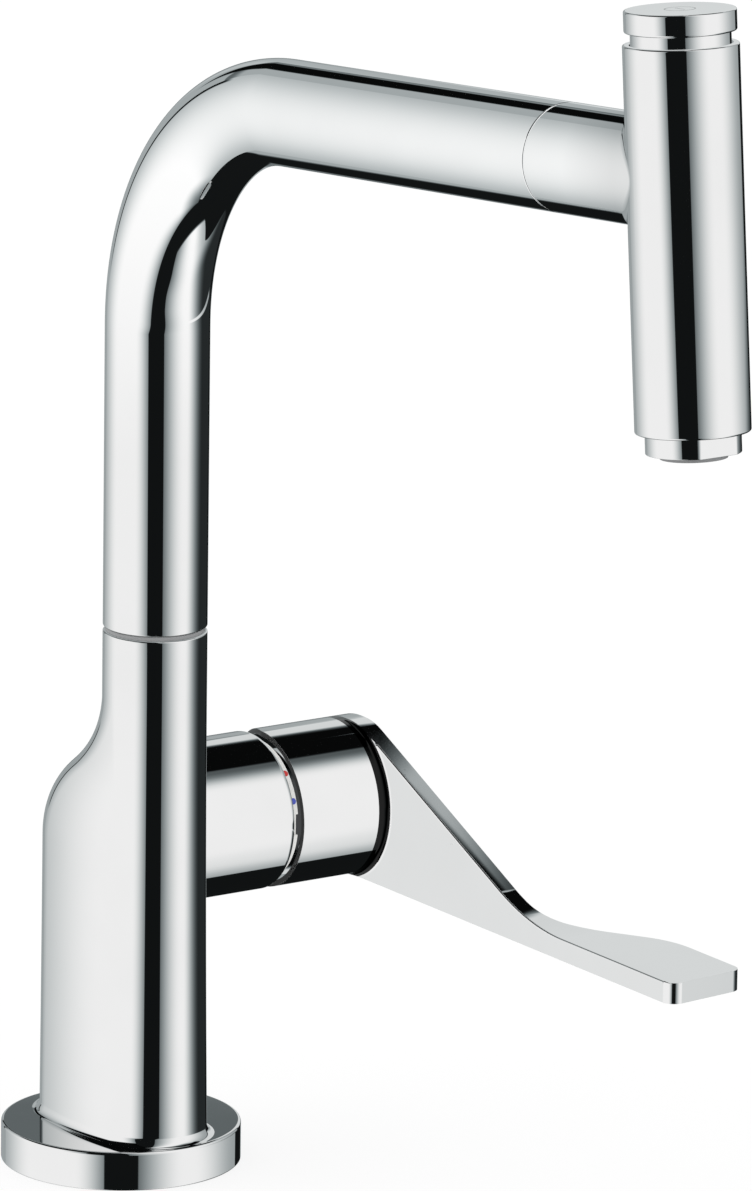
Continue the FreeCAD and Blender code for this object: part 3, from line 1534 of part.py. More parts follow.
# Cartridge stem: a square bar on the pivot pin whose round tip drives the moving disc.
bar = doc.addObject("Part::Box", "stem_bar")
bar.setExpression("Length", bound("stem_width"))
bar.setExpression("Width", bound("stem_end - stem_start"))
bar.setExpression("Height", bound("stem_width"))
place(bar, upright("barrel_offset - stem_width / 2", "stem_start", "barrel_height - stem_width / 2"))
TIP_START = f"{MOVING_DISC_END} - stem_tip_entry"
tip = cylinder(
    "stem_tip",
    "stem_tip_radius",
    f"stem_start - ({TIP_START})",
    f"placement(vector(barrel_offset; {TIP_START}; barrel_height); rotation(vector(1; 0; 0); -90))",
)
stem_bore = cylinder(
    "stem_bore",
    "pivot_pin_radius + running_clearance",
    "stem_width + 2 * cut_margin",
    upright("barrel_offset", "pivot_distance", "barrel_height - stem_width / 2 - cut_margin"),
)
keep("cartridge_stem", cut("cartridge_stem", fused("stem_solid", [bar, tip]), [stem_bore]))

# Check every object, then write one file for each sub-part.
doc.recompute()
for item in doc.Objects:
    if "Invalid" in item.State or "Error" in item.State:
        raise RuntimeError(f"{item.Name} failed: {item.State}")
for name, piece in pieces.items():
    if piece.Shape.isNull() or not piece.Shape.isValid() or not piece.Shape.Solids:
        raise RuntimeError(f"{name} has no valid solid")
os.makedirs("parts", exist_ok=True)
for name, piece in pieces.items():
    piece.Shape.exportStep(os.path.join("parts", name + ".step"))
print(f"{len(pieces)} sub-parts written")
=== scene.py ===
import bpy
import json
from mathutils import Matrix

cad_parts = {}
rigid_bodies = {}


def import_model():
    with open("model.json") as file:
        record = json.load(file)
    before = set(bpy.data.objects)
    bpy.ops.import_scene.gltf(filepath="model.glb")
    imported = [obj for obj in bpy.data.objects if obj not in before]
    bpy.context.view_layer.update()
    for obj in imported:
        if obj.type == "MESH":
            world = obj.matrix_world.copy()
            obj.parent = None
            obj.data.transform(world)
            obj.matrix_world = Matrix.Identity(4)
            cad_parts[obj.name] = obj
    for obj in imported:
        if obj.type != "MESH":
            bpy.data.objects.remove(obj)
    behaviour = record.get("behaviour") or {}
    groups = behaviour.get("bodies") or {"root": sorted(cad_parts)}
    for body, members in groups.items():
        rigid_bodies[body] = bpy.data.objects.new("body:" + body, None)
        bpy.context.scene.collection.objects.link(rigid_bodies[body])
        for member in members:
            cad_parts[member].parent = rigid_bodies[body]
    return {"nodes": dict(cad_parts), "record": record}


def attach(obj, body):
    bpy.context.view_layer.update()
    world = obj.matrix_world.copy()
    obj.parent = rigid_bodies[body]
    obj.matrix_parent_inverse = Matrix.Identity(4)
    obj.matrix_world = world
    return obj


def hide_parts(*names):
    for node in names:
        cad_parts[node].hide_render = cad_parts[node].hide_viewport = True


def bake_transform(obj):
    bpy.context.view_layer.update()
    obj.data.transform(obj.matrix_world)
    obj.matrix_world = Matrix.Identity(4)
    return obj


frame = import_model()

"""Looks of a deck mixer tap with a swivelling spout, a pull-out spray head and a side lever.

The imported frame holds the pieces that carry, fasten and move. This file models the polished
shells again as smooth meshes in the same places, adds threads, a braided hose and the button's
sign, gives every piece its finish, and sets up the camera, the lights and the floor.
Lengths are in millimetres until a mesh is made; Blender's own units are metres.
"""

import json
import logging
import math
from dataclasses import dataclass
from enum import Enum
from typing import Callable, Iterable, Sequence

import bmesh
import bpy
import numpy as np
from mathutils import Matrix, Vector

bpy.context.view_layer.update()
MM = 0.001
ROUND_STEPS = 8
RING_POINTS = 240
CREASE_ANGLE = math.radians(30)
SOFT_CREASE = math.radians(50)
JOIN_GAP = 0.0000001
MERGE_GAP = 0.000002
STOP_GAP = 0.000001
FLAT_ANGLE = math.radians(0.4)
BEVEL_SEGMENTS = 3
CREST_SEGMENTS = 5
EVEN_FACES = 50
WIDE_FACES_ONLY = 100
SMEAR_RANGE = (0.42, 0.72)
SMEAR_DETAIL = 4.0
SCRATCH_RANGE = (0.66, 0.72)
SCRATCH_DETAIL = 2.0
SCRATCH_LEAN = (0.5, 0.9, 0.3)
SCRATCH_STRETCH = (1.0, 1.0, 0.04)
MOTTLE_SCALE = 60.0
BRAID_CROSSING = (-0.2, 0.2)
BRAID_SHADE = (-0.2, 1.0)
BRAID_HEIGHT = (-0.4, 1.0)
SRGB_SCALE = 1.055
SRGB_POWER = 2.4
MIRRORED_PIECE = "mixer_body_shell"
UNLIT_PIECE = "lever_casting"

log = logging.getLogger("mixer_tap")


class Slot(Enum):
    """Material slots of the record."""

    CHROME = "chrome"
    DARK_CHROME = "dark_chrome"
    RUBBER = "black_rubber"
    BRASS = "brass"
    STEEL = "steel"
    COPPER = "copper"
    HOSE = "hose_sleeve"
    WHITE_PLASTIC = "white_plastic"
    GREY_PLASTIC = "grey_plastic"
    CERAMIC = "ceramic"
    RED = "red_mark"
    BLUE = "blue_mark"


class Body(Enum):
    """Moving bodies of the frame."""

    BASE = "tap_base"
    SPOUT = "spout"
    HEAD = "spray_head"
    BUTTON = "head_button"
    CARRIER = "lever_carrier"
    LEVER = "lever"
    DISC = "mixing_disc"


# Node trees: a small builder, then the shared shader groups.
class Tree:
    """Builds one node tree with short calls."""

    def __init__(self, tree: bpy.types.NodeTree) -> None:
        """Wrap a node tree.

        Args:
            tree: the tree to build in.
        """
        self.tree = tree

    def node(self, kind: str, inputs: dict | None = None, **settings: object) -> bpy.types.Node:
        """Add a node.

        Args:
            kind: the node's type name.
            inputs: socket names or numbers with a value or an output socket.
            settings: properties of the node.

        Returns:
            The new node.
        """
        made = self.tree.nodes.new(kind)
        for name, value in settings.items():
            setattr(made, name, value)
        for name, value in (inputs or {}).items():
            self.feed(made.inputs[name], value)
        return made

    def link(self, source: bpy.types.NodeSocket, target: bpy.types.NodeSocket) -> None:
        """Lead an output to an input."""
        self.tree.links.new(source, target)

    def feed(self, target: bpy.types.NodeSocket, value: object) -> None:
        """Lead an output to an input, or set the input's own value.

        Args:
            target: the input.
            value: an output socket, or a plain value.
        """
        if isinstance(value, bpy.types.NodeSocket):
            self.link(value, target)
        else:
            target.default_value = value

    def math(self, operation: str, *values: object) -> bpy.types.NodeSocket:
        """Add a Math node and return its output."""
        made = self.node("ShaderNodeMath", dict(enumerate(values)), operation=operation)
        return made.outputs[0]

    def vector(self, operation: str, *values: object) -> bpy.types.NodeSocket:
        """Add a Vector Math node and return its vector, or the number of a length."""
        made = self.node("ShaderNodeVectorMath", dict(enumerate(values)), operation=operation)
        return made.outputs["Value" if operation == "LENGTH" else "Vector"]

    def remap(
        self, value: bpy.types.NodeSocket, low: float, high: float, out: tuple = (0.0, 1.0)
    ) -> bpy.types.NodeSocket:
        """Map a value from low..high to out, clamped, and return the result."""
        sockets = {"Value": value, "From Min": low, "From Max": high, "To Min": out[0], "To Max": out[1]}
        return self.node("ShaderNodeMapRange", sockets).outputs["Result"]

    def mix(self, factor: object, first: object, second: object) -> bpy.types.NodeSocket:
        """Mix two colours and return the result.

        Args:
            factor: share of the second colour.
            first: the first colour.
            second: the second colour.

        Returns:
            The mixed colour.
        """
        made = self.node("ShaderNodeMix", {"Factor": factor}, data_type="RGBA")
        self.feed(made.inputs[6], first)
        self.feed(made.inputs[7], second)
        return made.outputs[2]

    def noise(self, vector: bpy.types.NodeSocket, scale: object, detail: float = 3.0) -> bpy.types.NodeSocket:
        """Add a noise texture and return its factor."""
        sockets = {"Vector": vector, "Scale": scale, "Detail": detail}
        return self.node("ShaderNodeTexNoise", sockets).outputs["Fac"]


class Signal:
    """A number in a node tree that takes part in sums as a plain number does."""

    def __init__(self, tree: Tree, socket: bpy.types.NodeSocket) -> None:
        """Wrap an output socket.

        Args:
            tree: the tree that the socket is in.
            socket: the output that gives the number.
        """
        self.tree = tree
        self.socket = socket

    def through(self, operation: str, *values: object) -> "Signal":
        """Lead signals, sockets or numbers through a Math node."""
        sockets = [value.socket if isinstance(value, Signal) else value for value in values]
        return Signal(self.tree, self.tree.math(operation, *sockets))

    def __add__(self, other: object) -> "Signal":
        """Add a signal or a number."""
        return self.through("ADD", self, other)

    def __sub__(self, other: object) -> "Signal":
        """Take a signal or a number off."""
        return self.through("SUBTRACT", self, other)

    def __rsub__(self, other: object) -> "Signal":
        """Take this signal off a number."""
        return self.through("SUBTRACT", other, self)

    def __mul__(self, other: object) -> "Signal":
        """Multiply by a signal or a number."""
        return self.through("MULTIPLY", self, other)

    def least(self, other: object) -> "Signal":
        """Keep the smaller of two."""
        return self.through("MINIMUM", self, other)

    def most(self, other: object) -> "Signal":
        """Keep the larger of two."""
        return self.through("MAXIMUM", self, other)

    def above(self, limit: float) -> "Signal":
        """Give 1 over a limit and 0 under it."""
        return self.through("GREATER_THAN", self, limit)

    def below(self, limit: float) -> "Signal":
        """Give 1 under a limit and 0 over it."""
        return self.through("LESS_THAN", self, limit)

    def ramped(self, low: float, high: float) -> "Signal":
        """Go evenly from 0 at one value to 1 at a larger one."""
        return Signal(self.tree, self.tree.remap(self.socket, low, high))

    def stepped(self, softness: float) -> "Signal":
        """Go smoothly from 0 a little below zero to 1 as much above it."""
        return self.eased(-softness, softness)

    def eased(self, start: float, end: float, height: float = 1.0) -> "Signal":
        """Go smoothly from 0 at one value to a height at another, which may be the smaller.

        Args:
            start: where the result is 0.
            end: where it reaches the height.
            height: the result at the end.

        Returns:
            The eased signal.
        """
        low, high, first, last = (start, end, 0.0, height) if start < end else (end, start, height, 0.0)
        sockets = {"Value": self.socket, "From Min": low, "From Max": high, "To Min": first, "To Max": last}
        made = self.tree.node("ShaderNodeMapRange", sockets, interpolation_type="SMOOTHSTEP")
        return Signal(self.tree, made.outputs["Result"])

    def between(self, first: object, second: object) -> "Signal":
        """Go from a first value, where this signal is 0, to a second one, where it is 1."""
        return self * second + (1.0 - self) * first


def signals(tree: Tree, vector: bpy.types.NodeSocket) -> tuple:
    """Take a vector apart into three signals."""
    parts = tree.node("ShaderNodeSeparateXYZ", {0: vector}).outputs
    return tuple(Signal(tree, part) for part in parts)


def new_group(name: str, inputs: dict, outputs: dict, kind: str = "ShaderNodeTree") -> tuple:
    """Start a node group.

    Args:
        name: the group's name.
        inputs: names of inputs with their socket type and default value.
        outputs: names of outputs with their socket type.
        kind: the type of tree.

    Returns:
        The Tree, the input node and the output node.
    """
    group = bpy.data.node_groups.new(name, kind)
    for label, (socket_type, value) in inputs.items():
        socket = group.interface.new_socket(label, in_out="INPUT", socket_type=socket_type)
        if value is not None:
            socket.default_value = value
    for label, socket_type in outputs.items():
        group.interface.new_socket(label, in_out="OUTPUT", socket_type=socket_type)
    tree = Tree(group)
    return tree, tree.node("NodeGroupInput"), tree.node("NodeGroupOutput")


FLOAT, VECTOR_SOCKET, GEOMETRY = "NodeSocketFloat", "NodeSocketVector", "NodeSocketGeometry"


def surface_wear_group() -> bpy.types.NodeTree:
    """Soft smears and hairline scratches of a handled surface: a mask of each, and a height.

    Returns:
        The group's tree.
    """
    tree, given, result = new_group(
        "Surface wear",
        {"Smear Scale": (FLOAT, 40.0), "Scratch Scale": (FLOAT, 900.0), "Scratch Amount": (FLOAT, 0.3)},
        {"Smear": FLOAT, "Scratch": FLOAT, "Height": FLOAT},
    )
    place = tree.node("ShaderNodeTexCoord").outputs["Object"]
    smear = tree.remap(tree.noise(place, given.outputs["Smear Scale"], SMEAR_DETAIL), *SMEAR_RANGE)
    leaning = tree.node("ShaderNodeMapping", {
        "Vector": place, "Rotation": SCRATCH_LEAN, "Scale": SCRATCH_STRETCH
    }).outputs[0]
    line = tree.remap(tree.noise(leaning, given.outputs["Scratch Scale"], SCRATCH_DETAIL), *SCRATCH_RANGE)
    scratch = tree.math("MULTIPLY", line, given.outputs["Scratch Amount"])
    tree.link(smear, result.inputs["Smear"])
    tree.link(scratch, result.inputs["Scratch"])
    tree.link(tree.math("MULTIPLY", scratch, -1.0), result.inputs["Height"])
    return tree.tree


def turned_lines_group() -> bpy.types.NodeTree:
    """Fine rings that a lathe leaves round an upright piece: a mask and a height.

    Returns:
        The group's tree.
    """
    tree, given, result = new_group(
        "Turned lines", {"Scale": (FLOAT, 2500.0)}, {"Mask": FLOAT, "Height": FLOAT}
    )
    x, y, height = signals(tree, tree.node("ShaderNodeTexCoord").outputs["Object"])
    radius = x.through("SQRT", x * x + y * y)
    line_place = tree.node("ShaderNodeCombineXYZ", {0: radius.socket, 1: height.socket}).outputs[0]
    rings = tree.noise(line_place, given.outputs["Scale"])
    tree.link(rings, result.inputs["Mask"])
    tree.link(rings, result.inputs["Height"])
    return tree.tree


def moulded_grain_group() -> bpy.types.NodeTree:
    """Grain of a moulded or pressed surface: a mottle for the colour and a height.

    Returns:
        The group's tree.
    """
    tree, given, result = new_group(
        "Moulded grain", {"Scale": (FLOAT, 1800.0)}, {"Mottle": FLOAT, "Height": FLOAT}
    )
    place = tree.node("ShaderNodeTexCoord").outputs["Object"]
    cells = tree.node(
        "ShaderNodeTexVoronoi", {"Vector": place, "Scale": given.outputs["Scale"]}, feature="SMOOTH_F1"
    ).outputs["Distance"]
    tree.link(tree.noise(place, MOTTLE_SCALE), result.inputs["Mottle"])
    tree.link(cells, result.inputs["Height"])
    return tree.tree


def braid_group() -> bpy.types.NodeTree:
    """Two sets of strands that cross round a hose, from the hose's own turn and length coordinates.

    Returns:
        The group's tree.
    """
    tree, given, result = new_group(
        "Braid",
        {"Strands": (FLOAT, 16.0), "Pitch": (FLOAT, 0.012)},
        {"Strand": FLOAT, "Shade": FLOAT, "Height": FLOAT},
    )
    place = tree.node("ShaderNodeAttribute", attribute_name="hose_place").outputs["Vector"]
    turn, length, _ = signals(tree, place)
    along = length.through("DIVIDE", length, given.outputs["Pitch"])
    waves = []
    for way in (1.0, -1.0):
        phase = (turn + along * way) * given.outputs["Strands"] * (2 * math.pi)
        waves.append(phase.through("SINE", phase))
    over, top = waves[0] * waves[1], waves[0].most(waves[1])
    for name, strand, limits in (
        ("Strand", over, BRAID_CROSSING), ("Shade", top, BRAID_SHADE), ("Height", top, BRAID_HEIGHT)
    ):
        tree.link(strand.ramped(*limits).socket, result.inputs[name])
    return tree.tree


class SharedGroups:
    """The shader groups that the finishes place with their own values."""

    def __init__(self) -> None:
        """Build each group once."""
        self.wear = surface_wear_group()
        self.lines = turned_lines_group()
        self.grain = moulded_grain_group()
        self.braid = braid_group()


def material_tree(name: str) -> tuple:
    """Start a material.

    Args:
        name: the material's name.

    Returns:
        The material, its Tree and its Principled BSDF.
    """
    material = bpy.data.materials.new(name)
    material.use_nodes = True
    tree = Tree(material.node_tree)
    return material, tree, material.node_tree.nodes["Principled BSDF"]


def set_bump(
    tree: Tree, shader: bpy.types.Node, height: bpy.types.NodeSocket, distance: float, strength: float
) -> None:
    """Lead a height to a shader's normal through a Bump node."""
    bump = tree.node("ShaderNodeBump", {"Height": height, "Distance": distance, "Strength": strength})
    tree.link(bump.outputs[0], shader.inputs["Normal"])


def worn_roughness(
    tree: Tree, smear: bpy.types.NodeSocket, clean: float, gain: float
) -> bpy.types.NodeSocket:
    """Roughness that rises from a clean value by a gain where the surface is smeared."""
    return tree.remap(smear, 0.0, 1.0, (clean, clean + gain))


@dataclass(frozen=True)
class PolishedMetal:
    """Plated or polished metal with faint smears and hairline scratches."""

    name: str
    tint: tuple
    smear_tint: tuple
    roughness: float = 0.025
    smear_roughness: float = 0.05
    scratch_amount: float = 0.25
    scratch_roughness: float = 0.08
    scratch_depth: float = 0.000002
    bump: float = 0.3

    def material(self, groups: SharedGroups) -> bpy.types.Material:
        """Build the material.

        Args:
            groups: the shared shader groups.

        Returns:
            The material.
        """
        material, tree, shader = material_tree(self.name)
        wear = tree.node("ShaderNodeGroup", node_tree=groups.wear)
        wear.inputs["Scratch Amount"].default_value = self.scratch_amount
        tint = tree.mix(wear.outputs["Smear"], self.tint, self.smear_tint)
        tree.link(self.plating(tree, tint), shader.inputs["Base Color"])
        rough = tree.remap(wear.outputs["Smear"], 0.0, 1.0, (self.roughness, self.smear_roughness))
        scratches = tree.math("MULTIPLY", wear.outputs["Scratch"], self.scratch_roughness)
        tree.link(tree.math("ADD", rough, scratches), shader.inputs["Roughness"])
        shader.inputs["Metallic"].default_value = 1.0
        set_bump(tree, shader, wear.outputs["Height"], self.scratch_depth, self.bump)
        output = material.node_tree.nodes["Material Output"]
        tree.link(self.surface(tree, shader), output.inputs["Surface"])
        return material

    def plating(self, tree: Tree, tint: bpy.types.NodeSocket) -> bpy.types.NodeSocket:
        """Colour of the plating, here the same all over, with no painted light."""
        return tint

    def surface(self, tree: Tree, shader: bpy.types.Node) -> bpy.types.NodeSocket:
        """Shader of the surface, here the Principled node alone."""
        return shader.outputs[0]


@dataclass(frozen=True)
class TapChrome(PolishedMetal):
    """The tap's plating. Sizes are in millimetres in the tap's frame.

    Its colour carries painted light: a painted highlight makes it a little brighter along the arm, and
    painted shade makes it dark in the lever's two corners. The tap's pieces don't mirror each other, apart
    from the body's foot, which the deck disc mirrors.
    """

    # Painted highlight along the arm: its gain, the heights where it rises, and the head's radii that it
    # stays behind.
    painted_arm_highlight: float = 0.2
    arm_from: float = 200.0
    arm_full: float = 290.0
    head_radius: float = 18.0
    sleeve_radius: float = 36.0
    # Painted shade on the cap's rear rim and in the hollow before the blade: where it lies and how dark it
    # is.
    rim_start: float = 43.0
    root_start: float = 68.5
    root_end: float = 71.45
    root_radius: float = 23.4
    facing_body: float = -0.9
    corner_shade: float = 0.02
    foot_height: float = 21.0

    def plating(self, tree: Tree, tint: bpy.types.NodeSocket) -> bpy.types.NodeSocket:
        """Paint light on the plating: a painted highlight that brightens the arm and painted shade that
        darkens the lever's corners.

        Args:
            tree: the material's tree.
            tint: the plating's colour.

        Returns:
            The colour with its painted light, by place.
        """
        painted_light = self.arm(tree) * self.corners(tree)
        return tree.vector("MULTIPLY", tint, painted_light.socket)

    def arm(self, tree: Tree) -> Signal:
        """Painted highlight: brightness that rises from the column to the arm and falls back towards the
        head.

        Args:
            tree: the material's tree.

        Returns:
            Painted highlight by place.
        """
        place = tree.node("ShaderNodeTexCoord").outputs["Object"]
        x, _, height = signals(tree, place)
        head = tuple(value * MM for value in HEAD_ORIGIN)
        across = tree.vector("CROSS_PRODUCT", tree.vector("SUBTRACT", place, head), HEAD_UP)
        distance = Signal(tree, tree.vector("LENGTH", across))
        behind_head = distance.ramped(self.head_radius * MM, self.sleeve_radius * MM) * x.below(head[0])
        raised = height.ramped(self.arm_from * MM, self.arm_full * MM)
        return raised * behind_head * self.painted_arm_highlight + 1.0

    def corners(self, tree: Tree) -> Signal:
        """Painted shade: brightness that drops in the hollow before the blade and on the cap's rear rim.

        Args:
            tree: the material's tree.

        Returns:
            Painted shade by place.
        """
        texture = tree.node("ShaderNodeTexCoord").outputs
        x, y, height = signals(tree, texture["Object"])
        up = height - BARREL_HEIGHT * MM
        flat = tree.node("ShaderNodeCombineXYZ", {0: x.socket, 1: up.socket}).outputs[0]
        inside = Signal(tree, tree.vector("LENGTH", flat)).below(self.root_radius * MM)
        root = inside * y.above(self.root_start * MM) * y.below(self.root_end * MM)
        _, facing, _ = signals(tree, texture["Normal"])
        rim = facing.below(self.facing_body) * y.below(self.root_start * MM) * y.above(self.rim_start * MM)
        return root.most(rim).between(1.0, self.corner_shade)

    def surface(self, tree: Tree, shader: bpy.types.Node) -> bpy.types.NodeSocket:
        """Let mirrored rays pass, but not at the foot.

        Args:
            tree: the material's tree.
            shader: its Principled node.

        Returns:
            The mixed shader.
        """
        _, _, height = signals(tree, tree.node("ShaderNodeTexCoord").outputs["Object"])
        mirrored = Signal(tree, tree.node("ShaderNodeLightPath").outputs["Is Glossy Ray"])
        passed = mirrored * height.above(self.foot_height * MM)
        clear = tree.node("ShaderNodeBsdfTransparent")
        shaders = {0: passed.socket, 1: shader.outputs[0], 2: clear.outputs[0]}
        return tree.node("ShaderNodeMixShader", shaders).outputs[0]


@dataclass(frozen=True)
class MachinedMetal:
    """Bare metal with the fine rings of a lathe, darker in the grooves."""

    name: str
    tint: tuple
    groove_tint: tuple
    roughness: float = 0.3
    line_range: tuple = (0.35, 0.65)
    smear_share: float = 0.35
    smear_roughness: float = 0.15
    line_depth: float = 0.00002
    bump: float = 0.35

    def material(self, groups: SharedGroups) -> bpy.types.Material:
        """Build the material.

        Args:
            groups: the shared shader groups.

        Returns:
            The material.
        """
        material, tree, shader = material_tree(self.name)
        lines = tree.node("ShaderNodeGroup", node_tree=groups.lines)
        wear = tree.node("ShaderNodeGroup", node_tree=groups.wear)
        ringed = tree.mix(tree.remap(lines.outputs["Mask"], *self.line_range), self.groove_tint, self.tint)
        smeared = tree.math("MULTIPLY", wear.outputs["Smear"], self.smear_share)
        tree.link(tree.mix(smeared, ringed, self.groove_tint), shader.inputs["Base Color"])
        rough = worn_roughness(tree, wear.outputs["Smear"], self.roughness, self.smear_roughness)
        tree.link(rough, shader.inputs["Roughness"])
        shader.inputs["Metallic"].default_value = 1.0
        set_bump(tree, shader, lines.outputs["Height"], self.line_depth, self.bump)
        return material


@dataclass(frozen=True)
class Moulded:
    """Moulded plastic, rubber or fired ceramic with a fine grain and an uneven colour."""

    name: str
    tint: tuple
    shade: tuple
    roughness: float
    grain_scale: float = 1800.0
    grain_depth: float = 0.00002
    coat: float = 0.0
    mottle_range: tuple = (0.35, 0.65)
    smear_roughness: float = 0.1
    bump: float = 0.4

    def material(self, groups: SharedGroups) -> bpy.types.Material:
        """Build the material.

        Args:
            groups: the shared shader groups.

        Returns:
            The material.
        """
        material, tree, shader = material_tree(self.name)
        grain = tree.node("ShaderNodeGroup", node_tree=groups.grain)
        grain.inputs["Scale"].default_value = self.grain_scale
        wear = tree.node("ShaderNodeGroup", node_tree=groups.wear)
        mottled = tree.mix(tree.remap(grain.outputs["Mottle"], *self.mottle_range), self.tint, self.shade)
        tree.link(mottled, shader.inputs["Base Color"])
        rough = worn_roughness(tree, wear.outputs["Smear"], self.roughness, self.smear_roughness)
        tree.link(rough, shader.inputs["Roughness"])
        shader.inputs["Coat Weight"].default_value = self.coat
        set_bump(tree, shader, grain.outputs["Height"], self.grain_depth, self.bump)
        return material


@dataclass(frozen=True)
class Braided:
    """A hose's woven sleeve: strands that cross, with a darker thread in every other crossing."""

    name: str
    tint: tuple
    dark_thread: tuple
    gap: tuple
    roughness: float = 0.5
    smear_roughness: float = 0.15
    strand_depth: float = 0.0004
    bump: float = 0.9

    def material(self, groups: SharedGroups) -> bpy.types.Material:
        """Build the material.

        Args:
            groups: the shared shader groups.

        Returns:
            The material.
        """
        material, tree, shader = material_tree(self.name)
        braid = tree.node("ShaderNodeGroup", node_tree=groups.braid)
        wear = tree.node("ShaderNodeGroup", node_tree=groups.wear)
        strands = tree.mix(braid.outputs["Strand"], self.dark_thread, self.tint)
        tree.link(tree.mix(braid.outputs["Shade"], self.gap, strands), shader.inputs["Base Color"])
        rough = worn_roughness(tree, wear.outputs["Smear"], self.roughness, self.smear_roughness)
        tree.link(rough, shader.inputs["Roughness"])
        set_bump(tree, shader, braid.outputs["Height"], self.strand_depth, self.bump)
        return material


FINISHES = {
    # The chrome plate's colour carries painted light: a painted highlight along the arm and painted shade in
    # the lever's corners.
    Slot.CHROME: TapChrome("Chrome plate with painted light", (0.8, 0.8, 0.8, 1), (0.785, 0.785, 0.785, 1), 0.012, 0.03, 0.12),
    # Near-black chrome: the button's sign is really dark; on the barrel's dome the near-black tint is also
    # painted shade for the gap under the cap.
    Slot.DARK_CHROME: PolishedMetal(
        "Dark chrome plate and painted shade", (0.06, 0.062, 0.064, 1), (0.05, 0.052, 0.054, 1), 0.08, 0.14
    ),
    Slot.RUBBER: Moulded("Black rubber", (0.02, 0.02, 0.022, 1), (0.032, 0.032, 0.034, 1), 0.55, 2600.0),
    Slot.BRASS: MachinedMetal("Turned brass", (0.78, 0.6, 0.3, 1), (0.6, 0.43, 0.19, 1), 0.24),
    Slot.STEEL: MachinedMetal("Bright steel", (0.68, 0.69, 0.7, 1), (0.5, 0.51, 0.52, 1), 0.28),
    Slot.COPPER: MachinedMetal("Copper tube", (0.8, 0.45, 0.3, 1), (0.62, 0.3, 0.19, 1), 0.22),
    Slot.HOSE: Braided(
        "Braided sleeve", (0.5, 0.51, 0.53, 1), (0.16, 0.165, 0.175, 1), (0.03, 0.03, 0.032, 1)
    ),
    Slot.WHITE_PLASTIC: Moulded("White plastic", (0.88, 0.88, 0.86, 1), (0.82, 0.82, 0.8, 1), 0.35),
    Slot.GREY_PLASTIC: Moulded("Grey plastic", (0.32, 0.325, 0.33, 1), (0.26, 0.265, 0.27, 1), 0.38),
    Slot.CERAMIC: Moulded(
        "Lapped ceramic", (0.9, 0.89, 0.85, 1), (0.86, 0.85, 0.8, 1), 0.12, 3500.0, 0.000004, 0.5
    ),
    Slot.RED: Moulded(
        "Red enamel", (0.72, 0.03, 0.02, 1), (0.62, 0.02, 0.015, 1), 0.2, 3500.0, 0.000004, 0.6
    ),
    Slot.BLUE: Moulded(
        "Blue enamel", (0.03, 0.07, 0.55, 1), (0.02, 0.05, 0.45, 1), 0.2, 3500.0, 0.000004, 0.6
    ),
}


# Meshes: turned outlines on straight and bent axes, and what finishes a mesh.
@dataclass(frozen=True)
class Corner:
    """One corner of a turned outline: its radius, its place along the axis and its rounding."""

    radius: float
    along: float
    rounding: float = 0.0


@dataclass(frozen=True)
class StraightAxis:
    """An axis through a point, with the direction across it where turns start."""

    origin: tuple
    direction: tuple
    across: tuple

    def ring(self, radius: float, along: float, turns: np.ndarray) -> np.ndarray:
        """Points of a circle about the axis.

        Args:
            radius: the circle's radius.
            along: its place along the axis.
            turns: angles of the points.

        Returns:
            The points.
        """
        forward, side = np.array(self.direction, float), np.array(self.across, float)
        up = np.cross(forward, side)
        centre = np.array(self.origin, float) + forward * along
        return centre + radius * (np.outer(np.cos(turns), side) + np.outer(np.sin(turns), up))


@dataclass(frozen=True)
class SpoutAxis:
    """The spout's line: up the column, round one bend and along the rising arm."""

    column_x: float
    start_height: float
    arm_height: float
    bend_radius: float
    rise: float

    @property
    def turn(self) -> float:
        """Angle of the bend in radians."""
        return math.pi / 2 - self.rise

    @property
    def riser(self) -> float:
        """Length of the upright stretch."""
        return self.arm_height - self.bend_radius * math.tan(self.turn / 2) - self.start_height

    @property
    def bend(self) -> float:
        """Length of the bend along its middle."""
        return self.bend_radius * self.turn

    def from_corner(self, distance: float) -> float:
        """Length along the line of a point at a distance from where the two straight lines cross."""
        return self.riser + self.bend + distance - self.bend_radius * math.tan(self.turn / 2)

    def ring(self, radius: float, along: float, turns: np.ndarray) -> np.ndarray:
        """Points of a circle about the line at a length along it.

        Args:
            radius: the circle's radius.
            along: its place along the line.
            turns: angles of the points.

        Returns:
            The points.
        """
        angle = min(max(along - self.riser, 0.0) / self.bend_radius, self.turn)
        rest = along - min(along, self.riser) - angle * self.bend_radius
        x = self.column_x + self.bend_radius * (1 - math.cos(angle)) + rest * math.sin(angle)
        upright = self.start_height + min(along, self.riser)
        z = upright + self.bend_radius * math.sin(angle) + rest * math.cos(angle)
        inwards = np.array([math.cos(angle), 0.0, -math.sin(angle)])
        outline = np.outer(np.cos(turns), inwards) + np.outer(np.sin(turns), (0.0, 1.0, 0.0))
        return np.array([x, 0.0, z]) + radius * outline

    def samples(self, step: float) -> list:
        """Lengths along the line that divide the bend into steps."""
        count = math.ceil(self.bend / step)
        return [self.riser + self.bend * index / count for index in range(count + 1)]


